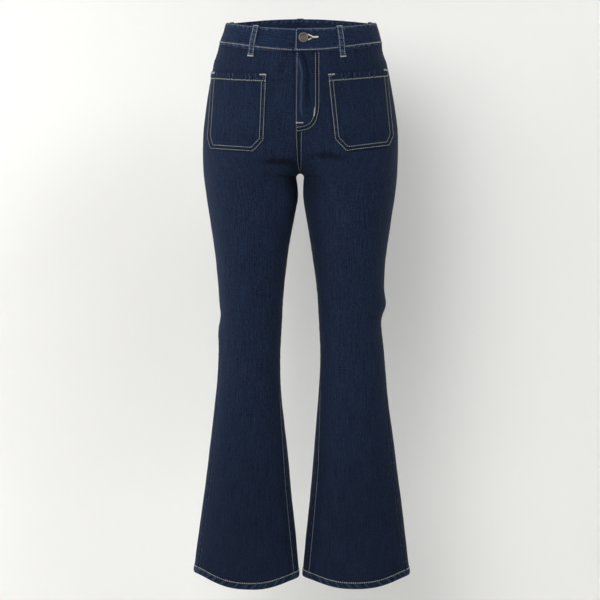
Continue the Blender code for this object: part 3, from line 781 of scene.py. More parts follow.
def leg_drops(side):
    step = np.arange(1, LEG_ROWS + 1)
    closeness = 1 - ARCH_CLOSENESS * np.exp(-(step - 1) / ARCH_ROWS)
    return CROTCH_DROP + (HEMS[side]["inseam_drop"] - CROTCH_DROP) * step / LEG_ROWS * closeness


def side_drops(side):
    yoke = np.linspace(BAND_HEIGHT / 2 + SEAM_GAP, YOKE_SIDE_DROP, YOKE_ROWS + 1)
    rise = np.linspace(YOKE_SIDE_DROP, CROTCH_DROP, RISE_ROWS + 1 - YOKE_ROWS)
    leg = np.linspace(CROTCH_DROP, HEMS[side]["side_drop"], LEG_ROWS + 1)
    return np.concatenate([yoke[:-1], rise[:-1], leg])


def front_ends(side):
    top = BAND_HEIGHT / 2 + SEAM_GAP + WAIST_FRONT_DIP
    return np.concatenate([centre_drops(top, RISE_ROWS + 1, False), leg_drops(side)])


def back_ends(side):
    top = BAND_HEIGHT / 2 + SEAM_GAP - WAIST_BACK_RISE
    yoke = np.linspace(top, YOKE_BACK_DROP, YOKE_ROWS + 1)
    seat = centre_drops(YOKE_BACK_DROP, RISE_ROWS + 1 - YOKE_ROWS, True)
    return np.concatenate([yoke[:-1], seat, leg_drops(side)])


def row_drops(side, end, seam, sweep, share, straight):
    """Drop along one row, from its centre end (share 0) to the side seam (share 1)."""
    blend = np.sin(share * math.pi / 2) ** 2 * (1 - straight) + share * straight
    swept = (seam - HEM_SWEEP_START) / (HEMS[side]["side_drop"] - HEM_SWEEP_START)
    sweep = sweep * np.clip(swept, 0, 1) ** 2
    return end + (seam - end) * blend + sweep * np.sin(share * math.pi) ** 2


def spaced(line, shares):
    """Points along a row from seam to seam, with ends that just pass the seams, so that they are closed."""
    points = along_line(line, lengths(line)[-1] * shares)
    for end, inner in ((0, 1), (-1, -2)):
        way = points[end] - points[inner]
        points[end] = points[end] + way / np.linalg.norm(way) * SEAM_LAP
    return points


def front_row(side, end, seam, shares):
    share = np.linspace(0, 1, ROW_READS)
    drop = row_drops(side, end, seam, HEMS[side]["front_sweep"], share, 0)
    edge = float(FLY_EDGE.read("edge", end)) if end < CROTCH_DROP else 0.0
    start = float(turn_at(side, end, 0 if side == LEFT else edge))
    start = max(start, float(seam_turn("inseam", end)))
    turn = start + (seam_turn("side", seam) - start) * share
    line = surface(side, drop, turn)
    if side == LEFT and edge > 0:
        lap = surface(RIGHT, end, turn_at(RIGHT, end, np.linspace(edge, 0, LAP_READS)))
        line = np.concatenate([lap[:-1], line])
    return spaced(line, shares)


def back_row(side, end, seam, straight, shares):
    """One row of the back, from the centre back or inseam to the side seam."""
    share = np.linspace(0, 1, ROW_READS)
    drop = row_drops(side, end, seam, BACK_HEM_SWEEP, share, straight)
    close = 2 * math.pi - float(turn_at(side, end, 0))
    if end >= CROTCH_DROP:
        close = 2 * math.pi + float(seam_turn("inseam", end))
    turn = close + (seam_turn("side", seam) - close) * share
    return spaced(surface(side, drop, turn), shares)


def row_indices(first):
    """Fine places between the coarse rows, closer together at the hem."""
    last = RISE_ROWS + LEG_ROWS
    body = np.linspace(first, last - HEM_INDEX, BODY_STEPS)
    return np.concatenate([body[:-1], np.linspace(last - HEM_INDEX, last, HEM_STEPS)])


@functools.cache
def panel_grid(side, face):
    """Points of the outer layer of a front, a back or a yoke."""
    coarse = np.arange(RISE_ROWS + LEG_ROWS + 1)
    ends = front_ends(side) if face == "front" else back_ends(side)
    shares = closer_at_ends(FRONT_COLUMNS if face == "front" else BACK_COLUMNS)
    places = row_indices(YOKE_ROWS if face == "back" else 0)
    if face == "yoke":
        places = np.linspace(0, YOKE_ROWS, YOKE_STEPS)
    rows = []
    for place in places:
        gap = -SEAM_LAP if face == "back" and place == YOKE_ROWS else 0
        end, seam = [np.interp(place, coarse, drops) + gap for drops in (ends, side_drops(side))]
        straight = 1 - smooth_step(RISE_ROWS - 1, RISE_ROWS + 1, place)
        if face == "yoke":
            straight = place / YOKE_ROWS
        if face == "front":
            rows.append(front_row(side, end, seam, shares))
        else:
            rows.append(back_row(side, end, seam, straight, shares))
    return np.array(rows)


def panel_places(grid):
    """Distances of every point of a panel from its four edges, and along its middle."""
    across, down = row_lengths(grid), column_lengths(grid)
    return {
        "from_inner": across,
        "from_side": across[:, -1:] - across,
        "from_top": down,
        "to_hem": down[-1:] - down,
        "drop": -grid[..., 2],
        "u": across - across[:, -1:] / 2,
        "v": np.broadcast_to(down[:, down.shape[1] // 2][:, None], down.shape),
    }


def seam_relief(gap, along, cloth, seed):
    """The rolled edge of a panel at its seam and the small waves beside it."""
    ripple = uneven(along, 13, seed) * np.exp(-gap / 8) * (1 - np.exp(-gap / 1.5))
    return -cloth.roll / MM * bump(gap, 0, 1.7) + cloth.pucker / MM * ripple


def hem_relief(place, cloth):
    """The turned-up hem: it stands proud, dips at its stitches and twists in slanted waves."""
    hem, gap = cloth.hem / MM, place["to_hem"]
    inside = 1 - smooth_step(hem - 0.9, hem + 0.9, gap)
    slant = place["u"] + 0.9 * gap
    rope = uneven(slant, 10.5, 41) * cloth.roping / MM
    rope = rope * (inside * smooth_step(0, 3, gap) + 0.45 * bump(gap, hem + 3, 4))
    side = np.minimum(place["from_side"], place["from_inner"])
    proud = cloth.hem_proud / MM + 1.3 * np.exp(-side / 7)
    groove = -0.45 * bump(gap, hem, 1.3)
    return inside * proud + rope + groove - 0.5 * bump(gap, 0, 1.3)


def fly_lap(side, grid, place, cloth):
    """The lapped edge of the fly, and its soft folds."""
    reach, drop = grid[..., 0], -grid[..., 2]
    upper = 1 - smooth_step(165, 200, drop)
    above = 1 - smooth_step(225, 243, drop)
    if side == RIGHT:
        return -0.7 * bump(place["from_inner"], 0, 3.5) * above
    total = 0.75 * (1 - smooth_step(3, 34, reach)) * above * (0.5 + 0.5 * upper)
    facing = bump(reach, 28.2, 2.2) * smooth_step(30, 40, drop) * (1 - smooth_step(125, 150, drop))
    return total + cloth.creases * fly_folds(reach, drop) + 0.25 * facing


def fly_folds(reach, drop):
    total = np.zeros_like(drop)
    for fold in FLY_FOLD.named():
        top, foot = fold["top"], fold["foot"]
        ends = smooth_step(top, top + 16, drop) * (1 - smooth_step(foot - 34, foot, drop))
        wander = 1.2 * np.sin(drop / 15.0) + 0.7 * np.sin(drop / 6.3) + 7.0 * np.exp(-(drop - 34) / 28)
        total += fold["stand"] * bump(reach + wander, fold["reach"], fold["width"]) * ends
    return total


def gap_from(line, reach, drop):
    """Distance of every point from a line given as reach and drop, below 0 on its right."""
    best = np.full(drop.shape, FAR / MM)
    for start, end in zip(line[:-1], line[1:]):
        way = np.subtract(end, start)
        size = np.hypot(*way)
        along = np.clip(((reach - start[0]) * way[0] + (drop - start[1]) * way[1]) / size, 0, size)
        east = reach - start[0] - way[0] / size * along
        south = drop - start[1] - way[1] / size * along
        turn = np.where(way[0] * south - way[1] * east < 0, -1, 1)
        gap = np.hypot(east, south)
        best = np.where(gap < np.abs(best), gap * turn, best)
    return best


def row_gap(side, face, grid, place):
    """Distance from the middle between two rows of stitches, in metres."""
    reach, drop = grid[..., 0], -grid[..., 2]
    gap = np.full(drop.shape, FAR / MM)
    if face == "front" and side == LEFT:
        gap = gap_from(FLY_ROWS, reach, drop)
    if face == "back":
        gap = place["from_top"] - ROWS_MIDDLE
    if side == LEFT and face != "front":
        seat = np.where(drop < CROTCH_DROP, place["from_inner"] - ROWS_MIDDLE, FAR / MM)
        gap = np.where(np.abs(seat) < np.abs(gap), seat, gap)
    return gap * MM


def fold_shade_and_highlight(side, face, grid):
    """Painted shade in the creases and the fly's folds, and paler ridges on the fly's folds, partly rubbed
    wear and partly painted highlight.
    """
    reach, drop = side * grid[..., 0], -grid[..., 2]
    if face != "front":
        return 0.12 * np.minimum(crease_height(side, "back", reach, drop), 0)
    wear = 0.31 * np.minimum(crease_height(side, "front", reach, drop), 0)
    folds = fly_folds(reach, drop) * (side == LEFT)
    return wear + 0.55 * np.maximum(folds, 0) + 0.45 * np.minimum(folds, 0)


def soft_relief(side, face, grid, place, cloth):
    """What the cloth does away from its edges."""
    if face == "front":
        return shared_relief(side, "front", grid, cloth) + fly_lap(side, grid, place, cloth)
    return shared_relief(side, "back", grid, cloth)


def panel_relief(side, face, place, cloth):
    """The rolled seams, small waves and hem of a panel."""
    inner_seed, top_seed, pitch, fade, share = EDGE_WAVES[face]
    total = seam_relief(place["from_side"], place["v"], cloth, 11 + side)
    inner = seam_relief(place["from_inner"], place["v"], cloth, inner_seed + side)
    if face == "front":
        inner = inner + 0.35 * bump(place["from_inner"], 3.0, 2.6)
        inner = inner * smooth_step(CROTCH_DROP - 8, CROTCH_DROP + 8, place["drop"])
    ripple = share * cloth.pucker / MM * uneven(place["u"], pitch, top_seed + side)
    total = total + inner + ripple * np.exp(-place["from_top"] / fade)
    if face == "yoke":
        return total + seam_relief(place["to_hem"], place["u"], cloth, 39 + side)
    if face == "back":
        total = total - 0.7 * bump(place["from_top"], 0, 1.6) + 0.4 * bump(place["from_top"], 5, 4)
    return total + hem_relief(place, cloth)


def wear_and_hollow_shade(relief, scale):
    """How far the cloth stands out of what is round it: above 0 it is rubbed paler, below 0 it gets painted
    shade in its hollows.
    """
    around = relief.copy()
    for axis in (0, 1):
        for _ in range(6):
            ahead = np.roll(around, 1, axis)
            behind = np.roll(around, -1, axis)
            around = (ahead + behind + 2 * around) / 4
    return np.clip((relief - around) / scale, -1, 1)


def panel_walls(face, place, cloth):
    """A panel is doubled where it is turned in: along its seams and up to the stitches of its hem."""
    wall, doubled = cloth.wall / MM, cloth.doubled / MM
    turned = 1 - smooth_step(9, 11, np.minimum(place["from_side"], place["from_inner"]))
    ends = {"to_hem": SEAM_TURNING if face == "yoke" else cloth.hem / MM}
    if face == "back":
        ends["from_top"] = SEAM_TURNING
    for name, width in ends.items():
        turned = np.maximum(turned, 1 - smooth_step(width - 0.5, width + 1.5, place[name]))
    return wall + (doubled - wall) * turned


def close_centre_back(grid, moved, place):
    """Keeps the edges of the backs and the yokes in the middle, where the two sides are sewn together."""
    seat = 1 - smooth_step(CROTCH_DROP - 2, CROTCH_DROP + 4, place["drop"])
    closed = moved.copy()
    closed[..., 0] -= (moved - grid)[:, :1, 0] * seat * np.exp(-place["from_inner"] / 4)
    return closed


def make_panel(side, face, cloth, finishes):
    """A front, a back or a yoke of one side."""
    grid = panel_grid(side, face)
    place = panel_places(grid)
    facing = side if face == "front" else -side
    relief = panel_relief(side, face, place, cloth)
    stand = soft_relief(side, face, grid, place, cloth) + relief
    moved = grid + stand[..., None] * outward(grid) * facing
    if face != "front":
        moved = close_centre_back(grid, moved, place)
    marks = {
        "u": place["u"],
        "v": place["v"] + (BACK_PATTERN_SHIFT if face == "back" else 0),
        "side_gap": np.minimum(place["from_side"], place["from_inner"]) * MM,
        "end_gap": np.minimum(place["from_top"], place["to_hem"]) * MM,
        "row_gap": row_gap(side, face, grid, place),
        # Rubbed wear on raised seams and hems, painted shade in hollows and creases, and a painted highlight
        # on the fly's fold ridges
        "wear_highlight_and_shade": np.clip(wear_and_hollow_shade(relief, 0.5) + fold_shade_and_highlight(side, face, grid), -1, 1),
        "facing": facing,
    }
    make_cloth(f"{face}_{SIDES[side]}", moved, marks, panel_walls(face, place, cloth), finishes)


# ---- Waistband, belt loops and pockets ----

def waist_drop(angle):
    cosine = np.cos(angle)
    return np.where(cosine > 0, WAIST_FRONT_DIP, -WAIST_BACK_RISE) * cosine**2


def ring(angle, drop):
    """Points of the outer layer all round the hips, by the angle from the centre front."""
    angle = np.mod(angle, 2 * math.pi)
    turn = math.pi / 2 + np.where(angle <= math.pi, angle, 2 * math.pi - angle)
    left, right = surface(LEFT, drop, turn), surface(RIGHT, drop, turn)
    return np.where((angle <= math.pi)[..., None], left, right)


@functools.cache
def waist_angles():
    """Distances round the waist and their angles, from before the centre front to past it again."""
    angle = np.linspace(*WAIST_ANGLES, WAIST_READS)
    along = lengths(ring(angle, waist_drop(angle)))
    return along - np.interp(0, angle, along), angle


def belt_grid(around, heights):
    """Rows of points along the waist, one for each height, and the directions out of them."""
    along, angles = waist_angles()
    rows, runs = [], []
    for height in heights:
        angle = [np.interp(around + step, along, angles) for step in (-RUN_STEP, 0, RUN_STEP)]
        before, here, after = [ring(a, waist_drop(a) - height) for a in angle]
        rows.append(here)
        runs.append(after - before)
    grid = np.array(rows)
    return grid, outward(grid, np.array(runs))


def waist_length():
    along, angle = waist_angles()
    return float(np.interp(2 * math.pi, angle, along))


def band_relief(around, heights):
    """Small upright puckers along the waistband's stitches, and its rolled edges."""
    gap = BAND_HEIGHT / 2 - np.abs(heights)
    edge = -0.75 * bump(gap, 0, 1.5)
    lower = np.exp(-(heights + BAND_HEIGHT / 2) / 12)
    upper = np.exp(-(BAND_HEIGHT / 2 - heights) / 9)
    tilt = around + 0.35 * heights
    ripple = uneven(tilt, 15, 51) * lower * 0.36 + uneven(tilt, 12, 53) * upper * 0.2
    groove = -0.3 * bump(gap, 2.1, 1.0)
    return edge + ripple * (1 - bump(gap, 0, 2)) + groove


def keyhole(place, lean, angle):
    """A keyhole to cut with: a round eye at the button and a slit away from the band's end."""
    bm = bmesh.new()
    bmesh.ops.create_cone(
        bm, cap_ends=True, segments=20, radius1=EYE_RADIUS * MM, radius2=EYE_RADIUS * MM,
        depth=2 * BAND_WALL * MM, matrix=Matrix.Rotation(math.pi / 2, 4, "X"),
    )
    eye = fresh_object("keyhole_eye", bm)
    bm = bmesh.new()
    stretch = Matrix.Diagonal((HOLE_LENGTH * MM, 2 * BAND_WALL * MM, HOLE_WIDTH * MM, 1))
    middle = Matrix.Translation((HOLE_LENGTH / 2 * MM, 0, 0))
    bmesh.ops.create_cube(bm, size=1, matrix=middle @ stretch)
    slit = fresh_object("keyhole_slit", bm)
    turn = Matrix.Translation(place) @ Matrix.Rotation(angle, 4, "Z") @ Matrix.Rotation(-lean, 4, "X")
    for cutter in (eye, slit):
        cutter.data.transform(turn)
    return eye, slit


def fresh_object(name, bm, finish=None):
    mesh = bpy.data.meshes.new(name)
    bm.to_mesh(mesh)
    bm.free()
    if finish:
        mesh.materials.append(finish)
    piece = bpy.data.objects.new(name, mesh)
    bpy.context.scene.collection.objects.link(piece)
    return piece


def front_point(reach, drop):
    """Points of the outer layer near the centre front, by their distance to the left of the middle."""
    left, right = [surface(side, drop, turn_at(side, drop, np.abs(reach))) for side in (LEFT, RIGHT)]
    return np.where(np.asarray(reach)[..., None] >= 0, left, right)


def button_frame():
    place = front_point(BUTTON_REACH, BUTTON_DROP)
    below = front_point(BUTTON_REACH, BUTTON_DROP + HOLE_LENGTH)
    beside = front_point(BUTTON_REACH + HOLE_LENGTH, BUTTON_DROP)
    lean = math.atan2(place[1] - below[1], place[2] - below[2])
    angle = math.atan2(beside[1] - place[1], beside[0] - place[0])
    return Vector((place - [0, BAND_PROUD, 0]) * MM), lean, angle


def cut_away(piece, cutters):
    """Cuts holes with Boolean modifiers and keeps the result as the piece's mesh."""
    for cutter in cutters:
        cut = piece.modifiers.new("cut", "BOOLEAN")
        cut.operation = "DIFFERENCE"
        cut.solver = "EXACT"
        cut.object = cutter
    graph = bpy.context.evaluated_depsgraph_get()
    mesh = bpy.data.meshes.new_from_object(piece.evaluated_get(graph))
    piece.modifiers.clear()
    piece.data = mesh
    for cutter in cutters:
        bpy.data.objects.remove(cutter)


def make_waistband(cloth, finish):
    length = waist_length()
    around = np.linspace(-BAND_LAP, length + BAND_UNDERLAP, BAND_COLUMNS)
    heights = BAND_HEIGHT * (0.5 - closer_at_ends(BAND_ROWS))
    grid, normal = belt_grid(around, heights)
    under = length - BAND_LAP - BAND_SUNK
    sink = (BAND_WALL + BAND_LAP_GAP) * smooth_step(under - BAND_SINK, under, around)
    across, tall = np.meshgrid(around, heights)
    relief = band_relief(across, tall)
    calm = 1 - 0.75 * (smooth_step(under - BAND_SINK, under, across) + 1 - smooth_step(-4, 26, across))
    relief = relief * np.clip(calm, 0.25, 1)
    swell = uneven(across - 0.8 * tall, 60, 55) * 0.3 + uneven(across + 1.2 * tall, 34, 57) * 0.15
    moved = grid + (BAND_PROUD - sink[None, :] + relief + swell * cloth.creases)[..., None] * normal
    gap = BAND_HEIGHT / 2 - np.abs(tall)
    # Paler along the band's edges and its end: rubbed wear, and a painted highlight along the rolled edges
    rubbed = 0.9 * bump(np.minimum(gap, across + BAND_LAP), 0.9, 1.1)
    marks = {
        "u": tall,
        "v": across,
        "side_gap": gap * MM,
        "end_gap": np.minimum(across + BAND_LAP, length + BAND_UNDERLAP - across) * MM,
        # Rubbed wear and painted highlights on the band's raised parts, painted shade in its hollows
        "wear_highlight_and_shade": np.clip(wear_and_hollow_shade(relief, 0.4) + rubbed, -1, 1),
    }
    cutters = keyhole(*button_frame())
    make_cloth("waistband", moved, marks, BAND_WALL, [finish], cutters=cutters)


def loop_middle(degrees):
    """Distance round the waist of the middle of a belt loop."""
    along, angles = waist_angles()
    return float(np.interp(math.radians(degrees), angles, along))


def make_belt_loop(name, degrees, finish):
    middle = loop_middle(degrees)
    share = closer_at_ends(LOOP_COLUMNS)
    across = middle + LOOP_WIDTH * (share - 0.5)
    heights = np.linspace(LOOP_SIDE.rows[-1][0], LOOP_SIDE.rows[0][0] - LOOP_TAIL, LOOP_STEPS)
    grid, normal = belt_grid(across, heights)
    gap = LOOP_WIDTH * np.minimum(share, 1 - share)
    stand = LOOP_SIDE.read("stand", heights)[:, None] + LOOP_WALL
    tall = np.broadcast_to(heights[:, None], grid.shape[:2])
    relief = 0.35 * bump(gap, LOOP_WIDTH / 2, 3.2) - 0.5 * bump(gap, 0, 0.9)
    relief = relief + 0.18 * uneven(tall + 3 * (share - 0.5), 8, int(degrees))
    ends = np.minimum(heights - heights[-1], heights[0] - heights)[:, None]
    relief = relief - 0.7 * bump(ends, 0, 1.2)
    moved = grid + (stand + relief)[..., None] * normal
    marks = {
        "u": np.broadcast_to(across - middle, grid.shape[:2]),
        "v": heights[0] - tall + degrees,
        "side_gap": gap * MM * 1.6,
        "end_gap": ends * MM,
        # Rubbed wear on the loop's edges and raised parts, painted shade in its hollows
        "wear_highlight_and_shade": np.clip(wear_and_hollow_shade(relief, 0.35) + 0.6 * bump(gap, 1.0, 1.2) + 0.08, -1, 1),
    }
    make_cloth(name, moved, marks, LOOP_WALL, [finish])


def pocket_levels():
    """Levels of a pocket's rows: 0 at the mouth, 1 where its corners are cut off and 2 at its foot."""
    return np.linspace(0, 1, POCKET_STEPS[0] + POCKET_STEPS[1]), np.linspace(1, 2, POCKET_STEPS[2])[1:]


def pocket_names():
    return dict.fromkeys(row["name"] for row in POCKETS.named())


def pocket_corners(name):
    return [row for row in POCKETS.named() if row["name"] == name]


def pocket_place(name, level, share):
    """Point of the panel's outer layer under a pocket, and the way its row runs there."""
    mouth, corner, foot = pocket_corners(name)
    side = mouth["side"]
    upper, lower, part = (mouth, corner, level) if level <= 1 else (corner, foot, level - 1)
    ends = {key: upper[key] + (lower[key] - upper[key]) * part for key in list(mouth)[2:]}
    start = float(turn_at(side, ends["inner_drop"], ends["inner"]))
    end = float(turn_at(side, ends["outer_drop"], ends["outer"]))
    turn = start + (end - start) * share
    drop = ends["inner_drop"] + (ends["outer_drop"] - ends["inner_drop"]) * share
    step = TURN_STEP
    if name.startswith("back"):
        turn = 2 * math.pi - turn
        step = -TURN_STEP
    run = surface(side, drop, turn + step) - surface(side, drop, turn - step)
    return surface(side, drop, turn), run


def pocket_outline(name):
    """A pocket's points on the panel, the way its rows run, and their distances from its edges."""
    upper, lower = pocket_levels()
    share = closer_at_ends(POCKET_COLUMNS)
    made = [pocket_place(name, level, share) for level in (*upper, *lower)]
    grid, runs = [np.array(part) for part in zip(*made)]
    cut = len(upper) - 1
    corners = [grid[0, 0], grid[cut, 0], grid[-1, 0], grid[-1, -1], grid[cut, -1], grid[0, -1]]
    gap = np.minimum.reduce([corner_gap(grid, *pair) for pair in zip(corners[:-1], corners[1:])])
    across = row_lengths(grid)
    return grid, runs, across - across[:, -1:] / 2, column_lengths(grid), gap


def corner_gap(grid, start, end):
    """Distance of every point from the straight edge between two corners."""
    way = (end - start) / np.linalg.norm(end - start)
    away = grid - start
    along = np.clip(away @ way, 0, np.linalg.norm(end - start))
    return np.linalg.norm(away - along[..., None] * way, axis=-1)


def make_pocket(name, cloth, finish):
    side = pocket_corners(name)[0]["side"]
    face = name.split("_")[0]
    grid, runs, u, down, gap = pocket_outline(name)
    facing = side if face == "front" else -side
    normal = outward(grid, runs) * facing
    hem = 1 - smooth_step(POCKET_HEM - 0.8, POCKET_HEM + 0.8, down)
    wall = POCKET_WALL + (POCKET_HEM_WALL - POCKET_WALL) * hem
    rope = uneven(u + 0.1 * down, 8, 61 + side) * hem * smooth_step(0, 3, down) * 0.34
    ripple = uneven(u - down, 12, 67 + side) * np.exp(-gap / 6) * cloth.pucker / MM
    soft = shared_relief(side, face, grid, cloth) + 0.7 * smooth_step(8, 34, gap)
    relief = rope + ripple * smooth_step(0, 2, gap)
    relief = relief - 0.95 * bump(gap, 0, 1.3) * (1 - 0.6 * hem)
    relief = relief - 0.35 * bump(down, POCKET_HEM, 1.2) - 0.45 * bump(down, 0, 1.1)
    relief = relief - 0.25 * bump(gap, ROWS[0], 0.9) - 0.2 * bump(gap, ROWS[1], 1.2)
    moved = grid + (LAID_GAP + wall + soft + relief)[..., None] * normal
    marks = {
        "u": u + POCKET_PATTERN_SHIFT,
        "v": down,
        "side_gap": gap * MM,
        "end_gap": down * MM,
        "row_gap": (gap - ROWS_MIDDLE) * MM,
        # Rubbed wear on the pocket's edges and raised parts, painted shade in its hollows
        "wear_highlight_and_shade": np.clip(wear_and_hollow_shade(relief, 0.4) + 0.5 * bump(gap, 0.8, 1.0), -1, 1),
        "facing": facing,
    }
    make_cloth(name, moved, marks, POCKET_WALL, [finish])


# ---- Fly and button ----

def make_strip(node, start, end, foot, columns, rows, depth, wall, finish, slot):
    """A strip of cloth behind the front."""
    grid = front_point(*np.meshgrid(np.linspace(start, end, columns), np.linspace(FLY_TOP, foot, rows)))
    grid[..., 1] += depth + 0.15 * waves(grid, 30, 71)
    across, down = row_lengths(grid), column_lengths(grid)
    marks = {
        "u": across,
        "v": down,
        "side_gap": np.minimum(across, across[:, -1:] - across) * MM,
        "end_gap": np.minimum(down, down[-1:] - down) * MM,
        "wear_highlight_and_shade": 0,
    }
    make_cloth(node, grid, marks, wall, [finish_named(finish)], slot=slot)


def add_bead(bm, matrix):
    """A small round body, which its matrix gives its size, place and direction."""
    bmesh.ops.create_uvsphere(bm, u_segments=6, v_segments=4, radius=1, matrix=matrix)


def make_teeth(finish):
    """The closed coil of the zip, as two rows of small bent teeth."""
    bm = bmesh.new()
    for index, drop in enumerate(np.arange(TEETH_TOP, ZIP_DROP - 2, TOOTH_PITCH)):
        side = 1 if index % 2 else -1
        place = front_point(ZIP_REACH + side * TOOTH_REACH, drop)
        place[1] += TOOTH_DEPTH
        shape = Matrix.Diagonal((*[half * MM for half in TOOTH_HALVES], 1))
        add_bead(bm, Matrix.Translation(Vector(place * MM)) @ shape)
    piece = fresh_object("zip_teeth", bm, finish)
    piece.data.shade_smooth()
    settle(piece, "aged_metal")


def make_button(finish):
    """A shank button with raised rings, turned about its axis, standing on the waistband."""
    place, lean, angle = button_frame()
    shank_end = -(BAND_WALL + BAND_LAP_GAP - SEAM_GAP)
    bm = bmesh.new()
    rows = BUTTON_SIDE.named()
    profile = [(row["radius"], row["height"]) for row in rows] + [(SHANK_RADIUS, shank_end), (0, shank_end)]
    verts = [bm.verts.new((radius * MM, 0, height * MM)) for radius, height in profile]
    lines = [bm.edges.new(pair) for pair in zip(verts[:-1], verts[1:])]
    bmesh.ops.spin(
        bm, geom=verts + lines, cent=(0, 0, 0), axis=(0, 0, 1), angle=2 * math.pi, steps=48, use_merge=True
    )
    bmesh.ops.remove_doubles(bm, verts=bm.verts[:], dist=1e-6)
    bmesh.ops.recalc_face_normals(bm, faces=bm.faces[:])
    layer = bm.verts.layers.float.new("wear_highlight_and_shade")
    radii, wear_highlight_and_shade = BUTTON_SIDE.column("radius"), BUTTON_SIDE.column("wear_highlight_and_shade")
    for vert in bm.verts:
        reach = math.hypot(vert.co.x, vert.co.y) / MM
        vert[layer] = float(np.interp(reach, radii[:16], wear_highlight_and_shade[:16])) if vert.co.z > 1.5 * MM else 0
    piece = fresh_object("button_face", bm, finish)
    upright = Matrix.Rotation(angle, 4, "Z") @ Matrix.Rotation(math.pi / 2 - lean, 4, "X")
    piece.data.transform(Matrix.Translation(place) @ upright)
    piece.data.shade_smooth()
    settle(piece, "aged_metal", "button")


# ---- Stitches ----

def tree_of(name):
    """The outer layer of a piece of cloth, to lay stitches on."""
    mesh = bpy.data.objects[name].data
    points = [vert.co for vert in mesh.vertices]
    return BVHTree.FromPolygons(points, [tuple(face.vertices) for face in mesh.polygons])


def on_cloth(tree, points):
    """Points in millimetres moved onto the cloth, in metres, and the cloth's directions there."""
    places, ways = [], []
    for point in points:
        place, way, _, _ = tree.find_nearest(Vector(point * MM))
        places.append(place)
        ways.append(way)
    return places, ways


def add_stitch(bm, place, run, way, length, width):
    run = (run - way * run.dot(way)).normalized()
    turn = Matrix((run, way.cross(run), way)).transposed().to_4x4()
    shape = Matrix.Diagonal((length / 2, width / 2, width * 0.36, 1))
    lift = Matrix.Translation(place + way * width * 0.12)
    add_bead(bm, lift @ turn @ shape @ Matrix.Rotation(math.pi / 2, 4, "Y"))


def add_stitches(bm, stitches):
    """Adds stitches a few at a time, because Blender's operators slow down as a mesh grows."""
    for first in range(0, len(stitches), STITCH_BATCH):
        batch = bmesh.new()
        for stitch in stitches[first:first + STITCH_BATCH]:
            add_stitch(batch, *stitch)
        mesh = bpy.data.meshes.new("batch")
        batch.to_mesh(mesh)
        batch.free()
        bm.from_mesh(mesh)
        bpy.data.meshes.remove(mesh)


def sew(bm, tree, line, seed, weight=1.0):
    """A row of stitches along a line of points near the cloth, thicker where its weight is above 1."""
    thread = bpy.context.scene.jeans_thread
    line = np.asarray(line, dtype=float)
    reach = lengths(line)[-1]
    pitch = thread.pitch / MM
    count = max(2, int(round(reach / pitch)))
    middles = (np.arange(count) + 0.5) * reach / count
    chance = np.random.default_rng(SEEDS[seed])
    places, ways = on_cloth(tree, along_line(line, middles))
    step = pitch * 0.4
    runs = along_line(line, middles + step) - along_line(line, middles - step)
    stitches = []
    for place, way, run in zip(places, ways, runs):
        run = Vector(run).normalized()
        aside = way.cross(run) * float(chance.normal(0, 0.03))
        size = float(chance.uniform(0.93, 1.07))
        stitches.append((place, run + aside, way, thread.length * size, thread.thickness * size * weight))
    add_stitches(bm, stitches)


def sew_tack(bm, tree, start, end, height=None):
    """A bar tack: short strands across a bar, packed side by side."""
    thread = bpy.context.scene.jeans_thread
    start, end = np.asarray(start, dtype=float), np.asarray(end, dtype=float)
    height = height or thread.tack_height
    count = int(round(np.linalg.norm(end - start) * MM / thread.tack_pitch))
    share = np.linspace(0, 1, count)[:, None]
    places, ways = on_cloth(tree, start + (end - start) * share)
    run = Vector(end - start).normalized()
    strands = []
    for index, (place, way) in enumerate(zip(places, ways)):
        across = way.cross(run).normalized() + run * (0.16 if index % 2 else -0.16)
        strands.append((place + way * TACK_LIFT, across, way, height, thread.tack_pitch * 1.6))
    add_stitches(bm, strands)


def finish_stitches(name, bm, finish="topstitch_thread"):
    piece = fresh_object(name, bm, finish_named(finish))
    piece.data.shade_smooth()
    settle(piece, "thread")


def panel_line(mark, gap, side, face, first=0.0, last=1.0):
    """A line on a panel at a distance from one of its edges, between two shares of its length."""
    grid = panel_grid(side, face)
    place = panel_places(grid)[mark]
    if mark in ("from_top", "to_hem"):
        grid, place = grid.transpose(1, 0, 2), place.T
    points = []
    for row, gaps in zip(grid, place):
        order = np.argsort(gaps)
        points.append([np.interp(gap, gaps[order], row[order, axis]) for axis in range(3)])
    points = np.array(points)
    start, stop = int(first * (len(points) - 1)), int(last * (len(points) - 1)) + 1
    return points[start:stop]


def pocket_inset(name, inset, mouth):
    """Corners of the line inside a pocket's outline, from one end of its mouth to the other."""
    corners = pocket_corners(name)
    shape = [np.array([row["inner"], row["inner_drop"]]) for row in corners]
    shape += [np.array([row["outer"], row["outer_drop"]]) for row in reversed(corners)]
    return inset_line(shape, inset, mouth)


def pocket_line(name, inset, mouth):
    """A line of points inside a pocket's cut outline."""
    moved = pocket_inset(name, inset, mouth)
    places = []
    for start, end in zip(moved[:-1], moved[1:]):
        count = max(2, int(np.linalg.norm(end - start) / 2))
        places += [start + (end - start) * share for share in np.linspace(0, 1, count, endpoint=False)]
    return patch_point(name, [*places, moved[-1]])


def mouth_line(name, mouth):
    """A line along a pocket's mouth, a set distance below it."""
    moved = pocket_inset(name, 1.2, mouth)
    return patch_point(name, moved[0] + (moved[-1] - moved[0]) * np.linspace(0, 1, 50)[:, None])


def patch_point(name, place):
    """Points of the panel under a pocket, by their reach from the middle and their drop."""
    place = np.asarray(place)
    side = pocket_corners(name)[0]["side"]
    turn = turn_at(side, place[..., 1], place[..., 0])
    if name.startswith("back"):
        turn = 2 * math.pi - turn
    return surface(side, place[..., 1], turn)


def square_way(way, start, middle):
    """The direction square to a way that points from its start towards a middle."""
    square = np.array([-way[1], way[0]])
    return -square if square @ (middle - start) < 0 else square


